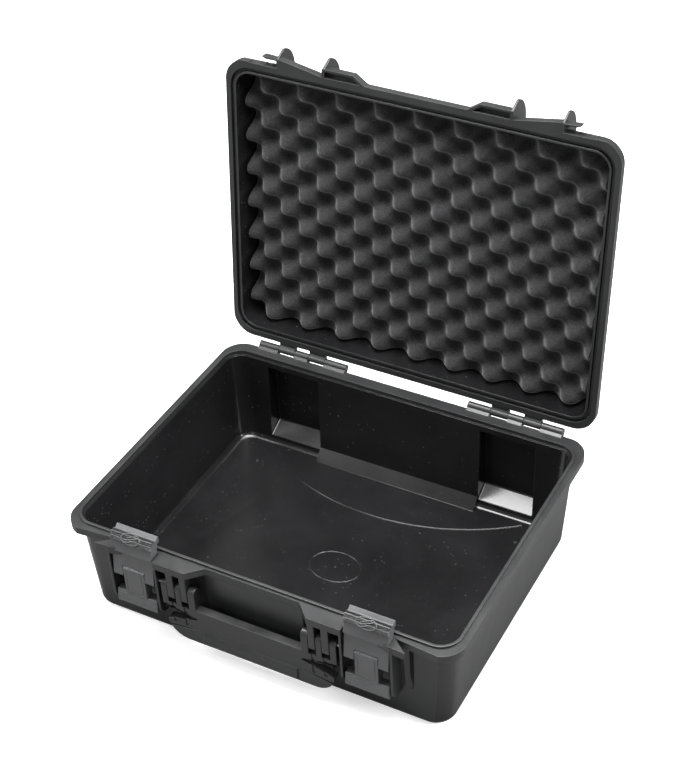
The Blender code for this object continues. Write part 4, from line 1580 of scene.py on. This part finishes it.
@dataclass(frozen=True)
class Studio:
    """The floor, lamps and camera."""

    eye: tuple[float, float, float] = (0.68910, -1.13321, 1.31494)
    azimuth: float = math.radians(27.533)
    elevation: float = math.radians(38.689)
    roll: float = math.radians(-1.682)
    lens: float = 77.37
    shift_x: float = -0.0781
    world_strength: float = 0.38
    lamps: tuple[Softbox, ...] = (
        Softbox("overhead", (0.0, 0.05, 1.7), (1.3, 0.9), 75.0),
        Softbox("right_side", (1.9, 0.5, 0.9), (0.9, 1.3), 60.0),
        Softbox("left_side", (-1.7, -0.9, 1.5), (0.9, 0.9), 30.0),
        Softbox("front_low", (0.2, -2.4, 0.9), (1.6, 0.5), 10.0),
    )

    def build(self) -> None:
        """Builds the studio round the case."""
        scene = bpy.context.scene
        scene.view_settings.view_transform = "Standard"
        scene.view_settings.look = "None"
        world = bpy.data.worlds.new("studio")
        world.use_nodes = True
        wire = Wiring(world.node_tree)
        seen = wire.add("LightPath").outputs["Is Camera Ray"]
        background = world.node_tree.nodes["Background"]
        background.inputs["Color"].default_value = WHITE
        strength = wire.scaled(seen, 0.0, 1.0, self.world_strength, 1.0)
        wire.join(strength, background.inputs["Strength"])
        scene.world = world
        for lamp in self.lamps:
            lamp.hang()
        self.lay_floor()
        self.set_camera()

    def lay_floor(self) -> None:
        """Lays the pale floor."""
        bm = bmesh.new()
        bmesh.ops.create_grid(bm, x_segments=1, y_segments=1, size=6.0)
        bmesh.ops.translate(bm, verts=bm.verts, vec=(0.0, 0.0, -0.0004))
        floor = placed(mesh_of(bm), "studio_floor")
        paint = bpy.data.materials.new("studio_floor_paint")
        paint.use_nodes = True
        wire = Wiring(paint.node_tree)
        shader = paint.node_tree.nodes["Principled BSDF"]
        place = wire.add("TexCoord").outputs["Object"]
        cloud = wire.add("TexNoise", {"Vector": place, "Scale": 1.5, "Detail": 3.0}).outputs["Fac"]
        seen = wire.add("LightPath").outputs["Is Camera Ray"]
        pale = wire.blend(cloud, (0.90, 0.90, 0.90, 1), (0.93, 0.93, 0.93, 1))
        paint_tone = wire.blend(seen, (0.22, 0.22, 0.22, 1), pale)
        wire.join(paint_tone, shader.inputs["Base Color"])
        shader.inputs["Roughness"].default_value = 0.9
        shader.inputs["Specular IOR Level"].default_value = 0.1
        glow = wire.scaled(seen, 0.0, 1.0, 0.0, 0.45)
        shader.inputs["Emission Color"].default_value = WHITE
        wire.join(glow, shader.inputs["Emission Strength"])
        floor.data.materials.append(paint)

    def set_camera(self) -> None:
        """Adds the camera and makes it the scene's."""
        camera = bpy.data.cameras.new("camera")
        camera.lens = self.lens
        camera.sensor_width = camera.sensor_height = 36.0
        camera.sensor_fit = "AUTO"
        camera.shift_x = self.shift_x
        camera.clip_start = 0.05
        az, el, roll = self.azimuth, self.elevation, self.roll
        right = Vector((math.cos(az), math.sin(az), 0.0))
        back = Vector((math.sin(az) * math.cos(el), -math.cos(az) * math.cos(el), math.sin(el)))
        up = back.cross(right)
        across = math.cos(roll) * right + math.sin(roll) * up
        upright = math.cos(roll) * up - math.sin(roll) * right
        holder = placed(camera, "camera")
        turn = Matrix((across, upright, back)).transposed().to_4x4()
        holder.matrix_world = Matrix.Translation(self.eye) @ turn
        bpy.context.scene.camera = holder


@dataclass
class Hardware:
    """The seal and the steel pins, which keep their own shapes."""

    def dress(self, finishes: Finishes) -> None:
        """Gives each one its finish.

        Args:
            finishes: the case's materials.
        """
        for name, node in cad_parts.items():
            if "gasket" in name:
                material = finishes.rubber
            elif "_pin_" in name:
                material = finishes.steel
            else:
                continue
            for slot in node.material_slots:
                slot.link = "OBJECT"
                slot.material = material
            log.info("%s: finished", name)


def main() -> None:
    """Builds the whole scene."""
    logging.basicConfig(level=logging.INFO, format="%(message)s")
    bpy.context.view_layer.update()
    Studio().build()
    effects = Effects(grain_effect(), edge_effect(), mottle_effect(), dust_effect())
    finishes = Finishes(effects)
    makers = [BaseShell(), LidShell(), LidFoam(), CarryHandle()]
    makers += [DrawLatch(side, sign) for side, sign in SIDES]
    for maker in makers:
        maker.build(finishes)
    Hardware().dress(finishes)
    bpy.context.view_layer.update()


if __name__ == "__main__":
    main()
